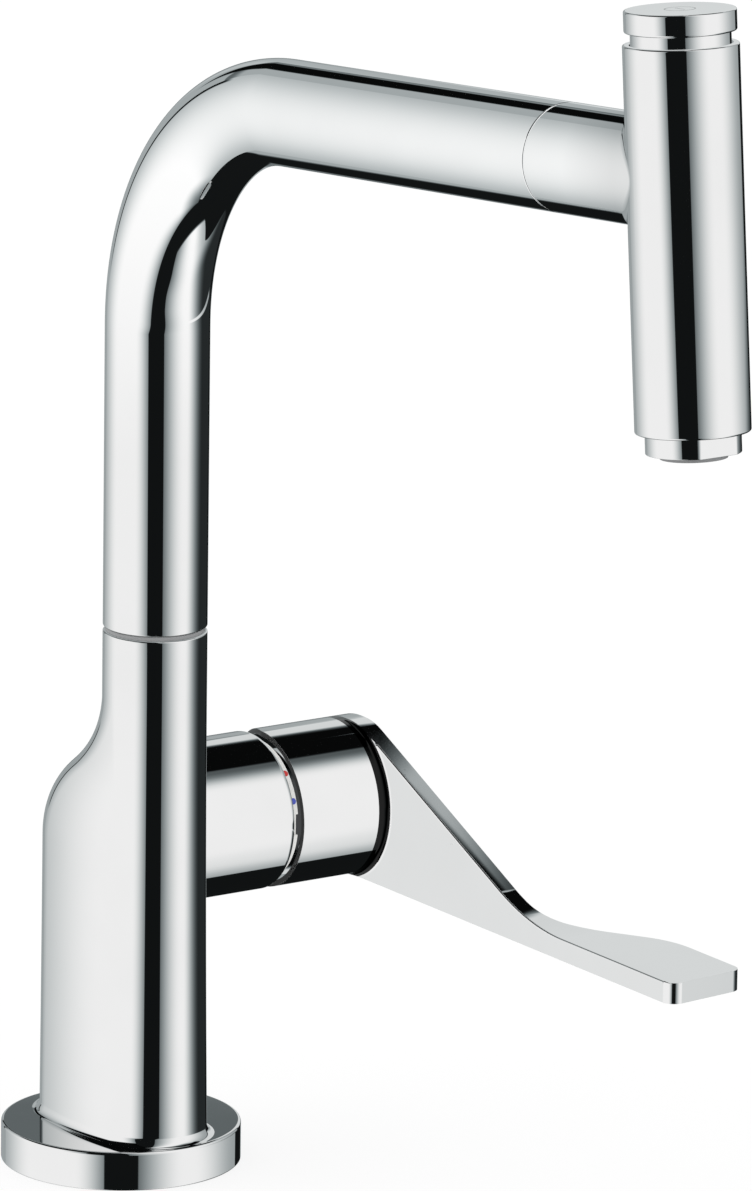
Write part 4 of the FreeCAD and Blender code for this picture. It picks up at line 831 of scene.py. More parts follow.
def rounded_outline(corners: Sequence[Corner]) -> list:
    """Replace the rounded corners of a closed outline by arcs.

    Args:
        corners: the outline's corners in order.

    Returns:
        Points as (radius, along).
    """
    points = []
    count = len(corners)
    for index, corner in enumerate(corners):
        here = np.array([corner.radius, corner.along])
        if not corner.rounding:
            points.append(tuple(here))
            continue
        before, after = corners[index - 1], corners[(index + 1) % count]
        back = np.array([before.radius, before.along]) - here
        ahead = np.array([after.radius, after.along]) - here
        back, ahead = back / np.linalg.norm(back), ahead / np.linalg.norm(ahead)
        half = math.acos(np.clip(back @ ahead, -1, 1)) / 2
        reach = corner.rounding / math.tan(half)
        middle = back + ahead
        centre = here + middle / np.linalg.norm(middle) * corner.rounding / math.sin(half)
        start, end = here + back * reach - centre, here + ahead * reach - centre
        sweep = math.pi - 2 * half
        for step in range(ROUND_STEPS + 1):
            share = step / ROUND_STEPS
            arc = (math.sin((1 - share) * sweep) * start + math.sin(share * sweep) * end) / math.sin(sweep)
            points.append(tuple(centre + arc))
    return points


def quarter_round(radius: float) -> list:
    """Steps of a quarter circle that rounds an end: how far drawn in, and how far along."""
    angles = [math.pi / 2 * step / ROUND_STEPS for step in range(1, ROUND_STEPS + 1)]
    return [(radius * (1 - math.cos(angle)), radius * math.sin(angle)) for angle in angles]


def divided(points: Sequence[tuple], stops: Iterable[float]) -> list:
    """Add points where a closed outline's straight sides cross the given places along the axis.

    Args:
        points: the outline's points.
        stops: the places.

    Returns:
        The outline with the added points.
    """
    made = []
    for index, start in enumerate(points):
        end = points[(index + 1) % len(points)]
        made.append(start)
        low, high = sorted((start[1], end[1]))
        inside = (stop for stop in stops if low + STOP_GAP < stop < high - STOP_GAP)
        for stop in sorted(inside, reverse=end[1] < start[1]):
            share = (stop - start[1]) / (end[1] - start[1])
            made.append((start[0] + (end[0] - start[0]) * share, stop))
    return made


def mesh_object(name: str, points: np.ndarray, faces: Sequence[Sequence[int]]) -> bpy.types.Object:
    """Make a mesh object from points in millimetres.

    Args:
        name: the object's name.
        points: the points.
        faces: point numbers of each face.

    Returns:
        The object.
    """
    mesh = bpy.data.meshes.new(name)
    mesh.from_pydata((np.asarray(points) * MM).tolist(), [], faces)
    made = bpy.data.objects.new(name, mesh)
    bpy.context.scene.collection.objects.link(made)
    return made


def strip_faces(rows: int, columns: int, close_rows: bool = False, close_columns: bool = True) -> list:
    """Quads of a grid of points numbered row by row.

    Args:
        rows: number of rows.
        columns: points in a row.
        close_rows: whether the last row joins the first.
        close_columns: whether each row closes on itself.

    Returns:
        Point numbers of each face.
    """
    faces = []
    for row in range(rows if close_rows else rows - 1):
        here, below = row * columns, (row + 1) % rows * columns
        for column in range(columns if close_columns else columns - 1):
            beside = (column + 1) % columns
            faces.append((here + column, here + beside, below + beside, below + column))
    return faces


def clean_mesh(made: bpy.types.Object, gap: float = JOIN_GAP) -> bpy.types.Object:
    """Join doubled points, drop flattened faces and turn every face outwards.

    Args:
        made: the object.
        gap: the least distance in metres between two points.

    Returns:
        The same object.
    """
    working = bmesh.new()
    working.from_mesh(made.data)
    bmesh.ops.remove_doubles(working, verts=working.verts, dist=gap)
    bmesh.ops.dissolve_degenerate(working, edges=working.edges, dist=gap)
    bmesh.ops.recalc_face_normals(working, faces=working.faces)
    working.to_mesh(made.data)
    working.free()
    return made


def applied(made: bpy.types.Object) -> bpy.types.Object:
    """Turn an object's modifiers into plain mesh.

    Args:
        made: the object.

    Returns:
        The same object.
    """
    graph = bpy.context.evaluated_depsgraph_get()
    shaped = made.evaluated_get(graph)
    mesh = bpy.data.meshes.new_from_object(shaped, preserve_all_data_layers=True, depsgraph=graph)
    made.modifiers.clear()
    old, made.data = made.data, mesh
    bpy.data.meshes.remove(old)
    return made


def smooth(
    made: bpy.types.Object, crease: float = CREASE_ANGLE, weight: int = EVEN_FACES
) -> bpy.types.Object:
    """Shade a mesh smooth between its creases, with normals that keep its flats flat.

    Args:
        made: the object.
        crease: the least angle of an edge that stays sharp.
        weight: how much wide faces lead the normals; 50 treats all alike.

    Returns:
        The same object.
    """
    made.data.polygons.foreach_set("use_smooth", [True] * len(made.data.polygons))
    made.data.set_sharp_from_angle(angle=crease)
    weighting = made.modifiers.new("Even faces", "WEIGHTED_NORMAL")
    weighting.mode = "FACE_AREA_WITH_ANGLE"
    weighting.weight = weight
    weighting.keep_sharp = True
    return applied(made)


def turned(
    name: str,
    corners: Sequence[Corner],
    axis: StraightAxis | SpoutAxis,
    stops: Iterable[float] = (),
    ring: int = RING_POINTS,
) -> bpy.types.Object:
    """Turn a closed outline about an axis.

    Args:
        name: the object's name.
        corners: the outline's corners.
        axis: the straight or bent axis.
        stops: places along the axis where the outline is divided.
        ring: points of each circle.

    Returns:
        A closed mesh object.
    """
    outline = divided(rounded_outline(corners), sorted(stops))
    turns = np.arange(ring) * 2 * math.pi / ring
    points = np.concatenate([axis.ring(radius, along, turns) for radius, along in outline])
    return clean_mesh(mesh_object(name, points, strip_faces(len(outline), ring, close_rows=True)))


def combine(target: bpy.types.Object, tool: bpy.types.Object, operation: str) -> bpy.types.Object:
    """Join a tool to a target, or cut it out, and remove the tool.

    Args:
        target: the object that is changed.
        tool: the object that is joined or cut out.
        operation: UNION or DIFFERENCE.

    Returns:
        The target.
    """
    joining = target.modifiers.new("Join", "BOOLEAN")
    joining.operation = operation
    joining.solver = "EXACT"
    joining.object = tool
    applied(target)
    bpy.data.objects.remove(tool)
    return target


def softened_copy(
    node: str,
    name: str,
    width: float,
    crease: float = CREASE_ANGLE,
    chosen: Callable | None = None,
    chosen_width: float = 0.0,
) -> bpy.types.Object:
    """Copy a node's mesh, join its triangles into faces and round its sharp edges.

    Args:
        node: the node to copy.
        name: the new object's name.
        width: width of the rounding in millimetres.
        crease: the least angle of an edge that is rounded.
        chosen: tells the edges that get a wider rounding instead, after the others.
        chosen_width: width of that rounding in millimetres.

    Returns:
        The new object.
    """
    made = bpy.data.objects.new(name, frame["nodes"][node].data.copy())
    bpy.context.scene.collection.objects.link(made)
    made.data.materials.clear()
    working = bmesh.new()
    working.from_mesh(made.data)
    bmesh.ops.remove_doubles(working, verts=working.verts, dist=MERGE_GAP)
    bmesh.ops.dissolve_limit(working, angle_limit=FLAT_ANGLE, verts=working.verts, edges=working.edges)
    weight = working.edges.layers.float.new("bevel_weight_edge")
    for edge in working.edges:
        if edge.calc_face_angle(0.0) > crease and not (chosen and chosen(edge)):
            edge[weight] = 1.0
    working.to_mesh(made.data)
    working.free()
    rounding = made.modifiers.new("Soft edges", "BEVEL")
    rounding.width = width * MM
    rounding.segments = BEVEL_SEGMENTS
    rounding.limit_method = "WEIGHT"
    applied(made)
    if not chosen:
        return smooth(made, SOFT_CREASE)
    round_crest(made, chosen, chosen_width)
    return smooth(made, SOFT_CREASE, WIDE_FACES_ONLY)


def round_crest(made: bpy.types.Object, chosen: Callable, width: float) -> None:
    """Round some edges widely.

    Args:
        made: the object.
        chosen: tells the edges.
        width: width of the rounding in millimetres.
    """
    working = bmesh.new()
    working.from_mesh(made.data)
    edges = [edge for edge in working.edges if chosen(edge)]
    sizes = {"offset": width * MM, "segments": CREST_SEGMENTS, "profile": 0.5}
    bmesh.ops.bevel(working, geom=edges, affect="EDGES", **sizes)
    working.to_mesh(made.data)
    working.free()


class Workshop:
    """Dresses pieces: finish, slot, body and the nodes that a piece stands for."""

    def __init__(self) -> None:
        """Build the shared groups and one material for each slot."""
        self.groups = SharedGroups()
        self.materials = {slot: finish.material(self.groups) for slot, finish in FINISHES.items()}

    def dress(self, made: bpy.types.Object, slot: Slot, body: Body, *nodes: str) -> bpy.types.Object:
        """Give a piece its finish, its body and the nodes that it stands for.

        Args:
            made: the piece.
            slot: its material slot.
            body: the body that it moves with.
            nodes: nodes that it replaces.

        Returns:
            The piece.
        """
        made.data.materials.clear()
        made.data.materials.append(self.materials[slot])
        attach(made, body.value)
        if nodes:
            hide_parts(*nodes)
        log.info("%s: %d faces, %s, on %s", made.name, len(made.data.polygons), slot.value, body.value)
        return made

    def dress_nodes(self) -> None:
        """Give every node that stays its own slot's material."""
        slots = {part["node"]: part["material_slot"] for part in frame["record"]["subparts"]}
        for node, made in frame["nodes"].items():
            made.data.materials.clear()
            made.data.materials.append(self.materials[Slot(slots[node])])


# The tap's own lines, then its sub-assemblies. Heights are over the worktop.
COLUMN_X = 15.0
TUBE_RADIUS = 14.0
BARREL_HEIGHT = 91.4
NECK_TOP = 150.5
SPOUT_RISE = math.radians(5)
SPOUT_START = 152.0
ARM_HEIGHT = 296.7
BEND_RADIUS = 68.0
SPOUT_AXIS = SpoutAxis(COLUMN_X, SPOUT_START, ARM_HEIGHT, BEND_RADIUS, SPOUT_RISE)
COLUMN_AXIS = StraightAxis((COLUMN_X, 0, 0), (0, 0, 1), (1, 0, 0))
DECK_AXIS = StraightAxis((0, 0, 0), (0, 0, 1), (1, 0, 0))
BARREL_AXIS = StraightAxis((0, 0, BARREL_HEIGHT), (0, 1, 0), (1, 0, 0))
SPRAY_REACH = 238.7
HEAD_X = (math.cos(SPOUT_RISE), 0.0, math.sin(SPOUT_RISE))
HEAD_UP = (-math.sin(SPOUT_RISE), 0.0, math.cos(SPOUT_RISE))
HEAD_ORIGIN = (
    COLUMN_X + SPRAY_REACH * math.cos(SPOUT_RISE), 0.0, ARM_HEIGHT + SPRAY_REACH * math.sin(SPOUT_RISE)
)
HEAD_AXIS = StraightAxis(HEAD_ORIGIN, HEAD_UP, HEAD_X)


def from_head(points: np.ndarray) -> np.ndarray:
    """Take points of the head's own frame, with X away from the column, to the tap's frame."""
    return points @ np.array([HEAD_X, (0.0, 1.0, 0.0), HEAD_UP]) + np.array(HEAD_ORIGIN)


@dataclass
class DeckDisc:
    """The round disc under the body."""

    radius: float = 32.5
    height: float = 10.6
    rounding: float = 0.8
    foot_rounding: float = 0.3
    hole: float = 13.3
    ring_points: int = 360

    def build(self, shop: Workshop) -> None:
        """Turn the disc.

        Args:
            shop: the workshop that dresses the piece.
        """
        corners = [
            Corner(self.hole, 0.0), Corner(self.radius, 0.0, self.foot_rounding),
            Corner(self.radius, self.height, self.rounding), Corner(self.hole, self.height),
        ]
        disc = turned("deck_disc", corners, DECK_AXIS, ring=self.ring_points)
        shop.dress(smooth(disc), Slot.CHROME, Body.BASE, "base_disc")


@dataclass
class MixerBody:
    """The egg-shaped body with its shoulder, its spreading foot and the lever's barrel."""

    foot: float = 10.6
    shoulder_top: float = 133.5
    shoulder_bottom: float = 88.0
    shoulder_arc: float = math.radians(38.5)
    rear_distance: float = 26.65
    rear_radius: float = 15.4
    flank_radius: float = 90.0
    front_spread: float = 1.1
    rear_spread: float = 0.5
    spread_power: float = 1.8
    least_share: float = 0.002
    least_distance: float = 1.0
    flare: float = 2.0
    flare_height: float = 2.6
    top_rounding: float = 0.3
    barrel_radius: float = 21.6
    barrel_start: float = 2.0
    barrel_end: float = 41.8
    barrel_rounding: float = 1.8
    cavity_radius: float = 18.3
    cavity_floor: float = 18.4
    neck_radius: float = 12.0
    neck_depth: float = 28.5
    front_points: int = 96
    flank_points: int = 36
    rear_points: int = 80
    flare_levels: int = 14
    flare_power: float = 1.5
    column_levels: int = 26
    shoulder_levels: int = 70
    neck_levels: int = 6
    barrel_points: int = 300
    neck_points: int = 120
    cut_margin: float = 1.0

    def rear_share(self, height: float) -> float:
        """Share of the rear lobe at a height: two equal arcs make the shoulder's S.

        Args:
            height: height over the worktop.

        Returns:
            The share, 1 below the shoulder and 0 at its top.
        """
        rise = self.shoulder_top - self.shoulder_bottom
        radius = rise / (2 * math.sin(self.shoulder_arc))
        shift = 2 * radius * (1 - math.cos(self.shoulder_arc))
        drop = min(max(self.shoulder_top - height, 0.0), rise)
        if drop <= rise / 2:
            return (radius - math.sqrt(radius ** 2 - drop ** 2)) / shift
        return 1 - (radius - math.sqrt(radius ** 2 - (rise - drop) ** 2)) / shift

    def flare_at(self, height: float) -> float:
        """How far the foot's quarter-round flare stands out at a height."""
        lift = (height - self.foot) / self.flare_height
        return self.flare * (1 - math.sqrt(1 - (1 - lift) ** 2)) if lift < 1 else 0.0

    def section(self, height: float, inset: float = 0.0) -> np.ndarray:
        """Points of the egg at a height.

        Args:
            height: height over the worktop.
            inset: how far the outline is drawn in, for a rounded edge.

        Returns:
            Points in the tap's frame.
        """
        share = max(self.rear_share(height), self.least_share)
        spread = (max(self.shoulder_top - height, 0.0) / (self.shoulder_top - self.foot)) ** self.spread_power
        flare = self.flare_at(height) - inset
        front = TUBE_RADIUS + spread * self.front_spread + flare
        widening = self.rear_radius - TUBE_RADIUS
        rear = TUBE_RADIUS + widening * share + spread * self.rear_spread * share + flare
        distance = self.rear_distance * share
        growth = widening / self.rear_distance
        if distance > self.least_distance:
            growth = (rear - front) / distance
        flank_x = -(growth * (2 * self.flank_radius - front - rear) + distance) / 2
        flank_y = math.sqrt((self.flank_radius - front) ** 2 - flank_x ** 2)
        front_end = math.atan2(flank_y, -flank_x)
        rear_start = math.atan2(flank_y, -distance - flank_x)
        rear_end, turn_end = 2 * math.pi - rear_start, 2 * math.pi - front_end
        arcs = (
            (0.0, 0.0, front, -front_end, front_end, self.front_points),
            (flank_x, -flank_y, self.flank_radius, front_end, rear_start, self.flank_points),
            (-distance, 0.0, rear, rear_start, rear_end, self.rear_points),
            (flank_x, flank_y, self.flank_radius, rear_end, turn_end, self.flank_points),
        )
        rows = []
        for x, y, radius, start, end, count in arcs:
            turns = np.linspace(start, end, count, endpoint=False)
            along_x, along_y = COLUMN_X + x + radius * np.cos(turns), y + radius * np.sin(turns)
            rows.append(np.stack([along_x, along_y, np.full(count, height)], 1))
        return np.concatenate(rows)

    def levels(self) -> list:
        """Heights and insets of the sections, closest where the outline bends.

        Returns:
            Height and inset of each section, from the foot up.
        """
        flare = [
            (self.foot + self.flare_height * (step / self.flare_levels) ** self.flare_power, 0.0)
            for step in range(self.flare_levels + 1)
        ]
        rise = []
        for start, end, count in (
            (self.foot + self.flare_height, self.shoulder_bottom, self.column_levels),
            (self.shoulder_bottom, self.shoulder_top, self.shoulder_levels),
            (self.shoulder_top, NECK_TOP - self.top_rounding, self.neck_levels),
        ):
            rise += [(float(height), 0.0) for height in np.linspace(start, end, count)[1:]]
        start = NECK_TOP - self.top_rounding
        return flare + rise + [(start + lift, inset) for inset, lift in quarter_round(self.top_rounding)]

    def build(self, shop: Workshop) -> None:
        """Skin the sections, join the barrel and open the two bores.

        Args:
            shop: the workshop that dresses the piece.
        """
        rows = [self.section(height, inset) for height, inset in self.levels()]
        count = len(rows[0])
        faces = strip_faces(len(rows), count)
        faces.append(tuple(range(count)))
        faces.append(tuple(range((len(rows) - 1) * count, len(rows) * count)))
        body = clean_mesh(mesh_object("mixer_body_shell", np.concatenate(rows), faces))
        barrel = turned("barrel", [
            Corner(0.0, self.barrel_start), Corner(self.barrel_radius, self.barrel_start),
            Corner(self.barrel_radius, self.barrel_end, self.barrel_rounding), Corner(0.0, self.barrel_end),
        ], BARREL_AXIS, ring=self.barrel_points)
        combine(body, barrel, "UNION")
        cavity = (self.cavity_radius, self.cavity_floor, self.barrel_end)
        neck = (self.neck_radius, NECK_TOP - self.neck_depth, NECK_TOP)
        for name, axis, (radius, floor, mouth), ring in (
            ("cavity", BARREL_AXIS, cavity, self.barrel_points), ("neck", COLUMN_AXIS, neck, self.neck_points)
        ):
            end = mouth + self.cut_margin
            corners = [Corner(0.0, floor), Corner(radius, floor), Corner(radius, end), Corner(0.0, end)]
            combine(body, turned(name, corners, axis, ring=ring), "DIFFERENCE")
        shop.dress(smooth(body), Slot.CHROME, Body.BASE, "mixer_body")


@dataclass
class SwivelRing:
    """The dark ring in the groove between the body and the spout."""

    inner: float = 12.0
    outer: float = 13.4
    top: float = 151.7
    rounding: float = 0.2

    def build(self, shop: Workshop) -> None:
        """Turn the ring.

        Args:
            shop: the workshop that dresses the piece.
        """
        corners = [
            Corner(self.inner, NECK_TOP), Corner(self.outer, NECK_TOP, self.rounding),
            Corner(self.outer, self.top, self.rounding), Corner(self.inner, self.top),
        ]
        ring = turned("swivel_ring", corners, COLUMN_AXIS)
        shop.dress(smooth(ring), Slot.GREY_PLASTIC, Body.BASE, "body_top_ring")


@dataclass
class Spout:
    """The bent tube of the spout."""

    wall: float = 2.0
    length: float = 188.5
    lip: float = 0.3
    bend_step: float = 0.9
    ring_points: int = 180

    def build(self, shop: Workshop) -> None:
        """Turn the tube's wall along the spout's line.

        Args:
            shop: the workshop that dresses the piece.
        """
        end = SPOUT_AXIS.from_corner(self.length)
        inner = TUBE_RADIUS - self.wall
        corners = [
            Corner(inner, 0.0), Corner(TUBE_RADIUS, 0.0, self.lip),
            Corner(TUBE_RADIUS, end, self.lip), Corner(inner, end, self.lip),
        ]
        stops = SPOUT_AXIS.samples(self.bend_step)
        tube = turned("spout_shell", corners, SPOUT_AXIS, stops, ring=self.ring_points)
        shop.dress(smooth(tube), Slot.CHROME, Body.SPOUT, "spout_tube")


@dataclass
class SprayHead:
    """The head's cylinder and its sleeve, joined by a fillet that a rolling ball would leave."""

    radius: float = 14.5
    top: float = 33.0
    bottom: float = 63.5
    edge: float = 0.5
    wall: float = 1.7
    well_depth: float = 17.0
    bore: float = 12.0
    fillet: float = 3.8
    sleeve_start: float = 188.8
    sleeve_lip: float = 0.3
    docking_radius: float = 10.45
    docking_depth: float = 20.3
    patch_half_height: float = 26.0
    patch_half_turn: float = math.radians(84)
    patch_rows: int = 24
    patch_columns: int = 56
    patch_uprights: int = 40
    patch_power: float = 1.3
    fillet_steps: int = 14
    sleeve_steps: int = 20
    wall_levels: int = 8
    mouth_chamfer: float = 0.15
    collar_edge: float = 0.25
    join_gap: float = 1e-6

    def border(self) -> np.ndarray:
        """Turn and height of the points round the patch that holds the sleeve's opening.

        Returns:
            The points, once round.
        """
        turns = np.linspace(-self.patch_half_turn, self.patch_half_turn, self.patch_columns + 1)
        heights = np.linspace(-self.patch_half_height, self.patch_half_height, self.patch_uprights + 1)
        sides = [
            np.stack([turns[:-1], np.full(self.patch_columns, heights[-1])], 1),
            np.stack([np.full(self.patch_uprights, turns[-1]), heights[::-1][:-1]], 1),
            np.stack([turns[::-1][:-1], np.full(self.patch_columns, heights[0])], 1),
            np.stack([np.full(self.patch_uprights, turns[0]), heights[:-1]], 1),
        ]
        return np.concatenate(sides)

    def on_head(self, places: np.ndarray) -> np.ndarray:
        """Points of the head's cylinder from turns off the sleeve's side and heights."""
        turns, heights = places[:, 0], places[:, 1]
        return np.stack([-self.radius * np.cos(turns), self.radius * np.sin(turns), heights], 1)

    def junction(self) -> list:
        """Rows of the patch, the fillet and the sleeve, from the patch's border to the sleeve's end.

        Returns:
            The rows of points in the head's own frame.
        """
        border = self.border()
        around = np.arctan2(border[:, 0] * self.radius, border[:, 1])
        ball = self.fillet
        side = (TUBE_RADIUS + ball) * np.sin(around)
        lift = (TUBE_RADIUS + ball) * np.cos(around)
        back = -np.sqrt((self.radius + ball) ** 2 - side ** 2)
        centres = np.stack([back, side, lift], 1)
        to_head = np.stack([-back, -side, np.zeros_like(side)], 1) / (self.radius + ball)
        to_sleeve = np.stack([np.zeros_like(side), -side, -lift], 1) / (TUBE_RADIUS + ball)
        contact = centres + ball * to_head
        opening = np.stack([np.arctan2(contact[:, 1], -contact[:, 0]), contact[:, 2]], 1)
        rows = []
        for step in range(self.patch_rows):
            share = 1 - (1 - step / self.patch_rows) ** self.patch_power
            rows.append(self.on_head(border + (opening - border) * share))
        swing = np.arccos(np.clip((to_head * to_sleeve).sum(1), -1, 1))[:, None]
        for step in range(self.fillet_steps + 1):
            share = step / self.fillet_steps
            ray = (np.sin((1 - share) * swing) * to_head + np.sin(share * swing) * to_sleeve) / np.sin(swing)
            rows.append(centres + ball * ray)
        sleeve_end = self.sleeve_start - SPRAY_REACH
        foot = rows[-1]
        for step in range(1, self.sleeve_steps + 1):
            share = step / self.sleeve_steps
            row = foot.copy()
            row[:, 0] += (sleeve_end + self.sleeve_lip - foot[:, 0]) * share
            rows.append(row)
        outwards = np.stack([np.zeros_like(side), np.sin(around), np.cos(around)], 1)
        for inset, reach in quarter_round(self.sleeve_lip):
            row = outwards * (TUBE_RADIUS - inset)
            row[:, 0] = sleeve_end + self.sleeve_lip - reach
            rows.append(row)
        for depth in (0.0, self.docking_depth):
            row = outwards * self.docking_radius
            row[:, 0] = sleeve_end + depth
            rows.append(row)
        return rows

    def shell(self) -> bpy.types.Object:
        """Make the closed skin of the head and its sleeve.

        Returns:
            The shell's object.
        """
        points, faces = [], []

        def add(rows: Sequence[np.ndarray], close_columns: bool = True) -> None:
            """Add a grid of rows to the skin."""
            start = sum(len(row) for row in points)
            columns = len(rows[0])
            points.extend(rows)
            grid = strip_faces(len(rows), columns, close_columns=close_columns)
            faces.extend(tuple(start + index for index in face) for face in grid)

        junction = self.junction()
        add(junction)
        last = sum(len(row) for row in points)
        faces.append(tuple(range(last - len(junction[-1]), last)))
        heights = np.linspace(-self.patch_half_height, self.patch_half_height, self.patch_uprights + 1)
        far = np.linspace(self.patch_half_turn, 2 * math.pi - self.patch_half_turn, self.patch_columns + 1)
        places = [np.stack([far, np.full(len(far), height)], 1) for height in heights]
        add([self.on_head(place) for place in places], close_columns=False)
        near = np.linspace(-self.patch_half_turn, self.patch_half_turn, self.patch_columns + 1)
        turns = np.concatenate([near[:-1], far[:-1]])
        for sign, end, inner, depth in (
            (1.0, self.top, self.radius - self.wall, self.well_depth),
            (-1.0, self.bottom, self.bore, self.bottom - self.patch_half_height),
        ):
            wall = np.linspace(self.patch_half_height, end - self.edge, self.wall_levels)
            profile = [(self.radius, height) for height in wall]
            for inset, reach in quarter_round(self.edge):
                profile.append((self.radius - inset, end - self.edge + reach))
            profile += [
                (inner + self.mouth_chamfer, end), (inner, end - self.mouth_chamfer),
                (inner, end - depth), (0.0, end - depth),
            ]
            rows = []
            for radius, height in profile:
                row = np.stack([-np.cos(turns), np.sin(turns), np.full(len(turns), 0.0)], 1) * radius
                row[:, 2] = sign * height
                rows.append(row)
            add(rows)
        skin = mesh_object("spray_head_skin", from_head(np.concatenate(points)), faces)
        return clean_mesh(skin, self.join_gap)

    def build(self, shop: Workshop) -> None:
        """Make the shell and the nozzle's collar.

        Args:
            shop: the workshop that dresses the piece.
        """
        shop.dress(smooth(self.shell()), Slot.CHROME, Body.HEAD, "spray_head_shell")
        collar = softened_copy("nozzle_collar", "nozzle_ring", self.collar_edge)
        shop.dress(collar, Slot.CHROME, Body.HEAD, "nozzle_collar")


@dataclass
class HeadButton:
    """The push button on the head, with a plain on/off sign in its top."""

    bottom: float = 36.0
    height: float = 5.5
    radius: float = 14.0
    neck_radius: float = 12.5
    neck_length: float = 7.0
    wall: float = 1.6
    edge: float = 0.5
    sign_radius: float = 3.8
    sign_width: float = 0.35
    sign_bar: float = 4.2
    sign_sunk: float = 0.05
    sign_raised: float = 0.012
    sign_points: int = 96
    neck_corner: float = 0.25

    def build(self, shop: Workshop) -> None:
        """Turn the button and lay the sign on it.

        Args:
            shop: the workshop that dresses the piece.
        """
        top = self.bottom + self.height
        hollow = self.neck_radius - self.wall
        neck_end = self.bottom - self.neck_length
        corners = [
            Corner(0.0, top - self.wall), Corner(hollow, top - self.wall), Corner(hollow, neck_end),
            Corner(self.neck_radius, neck_end), Corner(self.neck_radius, self.bottom, self.neck_corner),
            Corner(self.radius, self.bottom, self.edge), Corner(self.radius, top, self.edge),
            Corner(0.0, top),
        ]
        button = turned("push_button", corners, HEAD_AXIS)
        shop.dress(smooth(button), Slot.CHROME, Body.BUTTON, "select_button")
        shop.dress(self.sign(top), Slot.DARK_CHROME, Body.BUTTON)

    def sign(self, top: float) -> bpy.types.Object:
        """Make a ring and a bar that stand a hair's breadth over the button's top.

        Args:
            top: height of the button's top in the head's frame.

        Returns:
            The sign's object.
        """
        low, high = top - self.sign_sunk, top + self.sign_raised
        half_width, half_bar = self.sign_width / 2, self.sign_bar / 2
        outer, inner = self.sign_radius + half_width, self.sign_radius - half_width
        outline = [Corner(inner, low), Corner(outer, low), Corner(outer, high), Corner(inner, high)]
        ring = turned("button_sign", outline, HEAD_AXIS, ring=self.sign_points)
        flat = [(half_bar * x, half_width * y) for x, y in ((-1, -1), (1, -1), (1, 1), (-1, 1))]
        corners = np.array([(x, y, height) for height in (low, high) for x, y in flat])
        faces = [(3, 2, 1, 0), (4, 5, 6, 7), (0, 1, 5, 4), (1, 2, 6, 5), (2, 3, 7, 6), (3, 0, 4, 7)]
        bar = mesh_object("sign_bar", from_head(corners), faces)
        return combine(ring, bar, "UNION")


@dataclass
class BarrelGap:
    """What shows between the barrel and the lever's cap: the dome and the indicator ring."""

    dome_edge: float = 0.3
    dome_crease: float = math.radians(20)
    ring_edge: float = 0.12

    def build(self, shop: Workshop) -> None:
        """Soften the dome, whose near-black dark chrome is also painted shade for the gap, and the ring.

        Args:
            shop: the workshop that dresses the piece.
        """
        dome = softened_copy("barrel_dome", "cartridge_dome", self.dome_edge, self.dome_crease)
        # The dome is dark chrome darkened to near black: painted shade for the deep gap under the cap.
        shop.dress(dome, Slot.DARK_CHROME, Body.BASE, "barrel_dome")
        ring = softened_copy("indicator_ring", "temperature_ring", self.ring_edge)
        shop.dress(ring, Slot.WHITE_PLASTIC, Body.BASE, "indicator_ring")


@dataclass
class Lever:
    """The lever's casting: cap, blade and paddle."""

    edge: float = 0.28
    crest_edge: float = 0.5
    face_distance: float = 71.6
    face_gap: float = 0.05
    face_direction: float = -0.9
    top_direction: float = 0.3

    def on_crest(self, edge: bmesh.types.BMEdge) -> bool:
        """Whether an edge runs between the blade's face and its top.

        Args:
            edge: the edge.

        Returns:
            True for an edge of the crest.
        """
        if any(abs(vert.co.y / MM - self.face_distance) > self.face_gap for vert in edge.verts):
            return False
        normals = [face.normal for face in edge.link_faces]
        backward = min(normal.y for normal in normals) < self.face_direction
        return backward and max(normal.z for normal in normals) > self.top_direction

    def build(self, shop: Workshop) -> None:
        """Soften the casting's edges, the blade's front crest the most.

        Args:
            shop: the workshop that dresses the piece.
        """
        crest = {"chosen": self.on_crest, "chosen_width": self.crest_edge}
        handle = softened_copy("lever_handle", "lever_casting", self.edge, CREASE_ANGLE, **crest)
        shop.dress(handle, Slot.CHROME, Body.LEVER, "lever_handle")


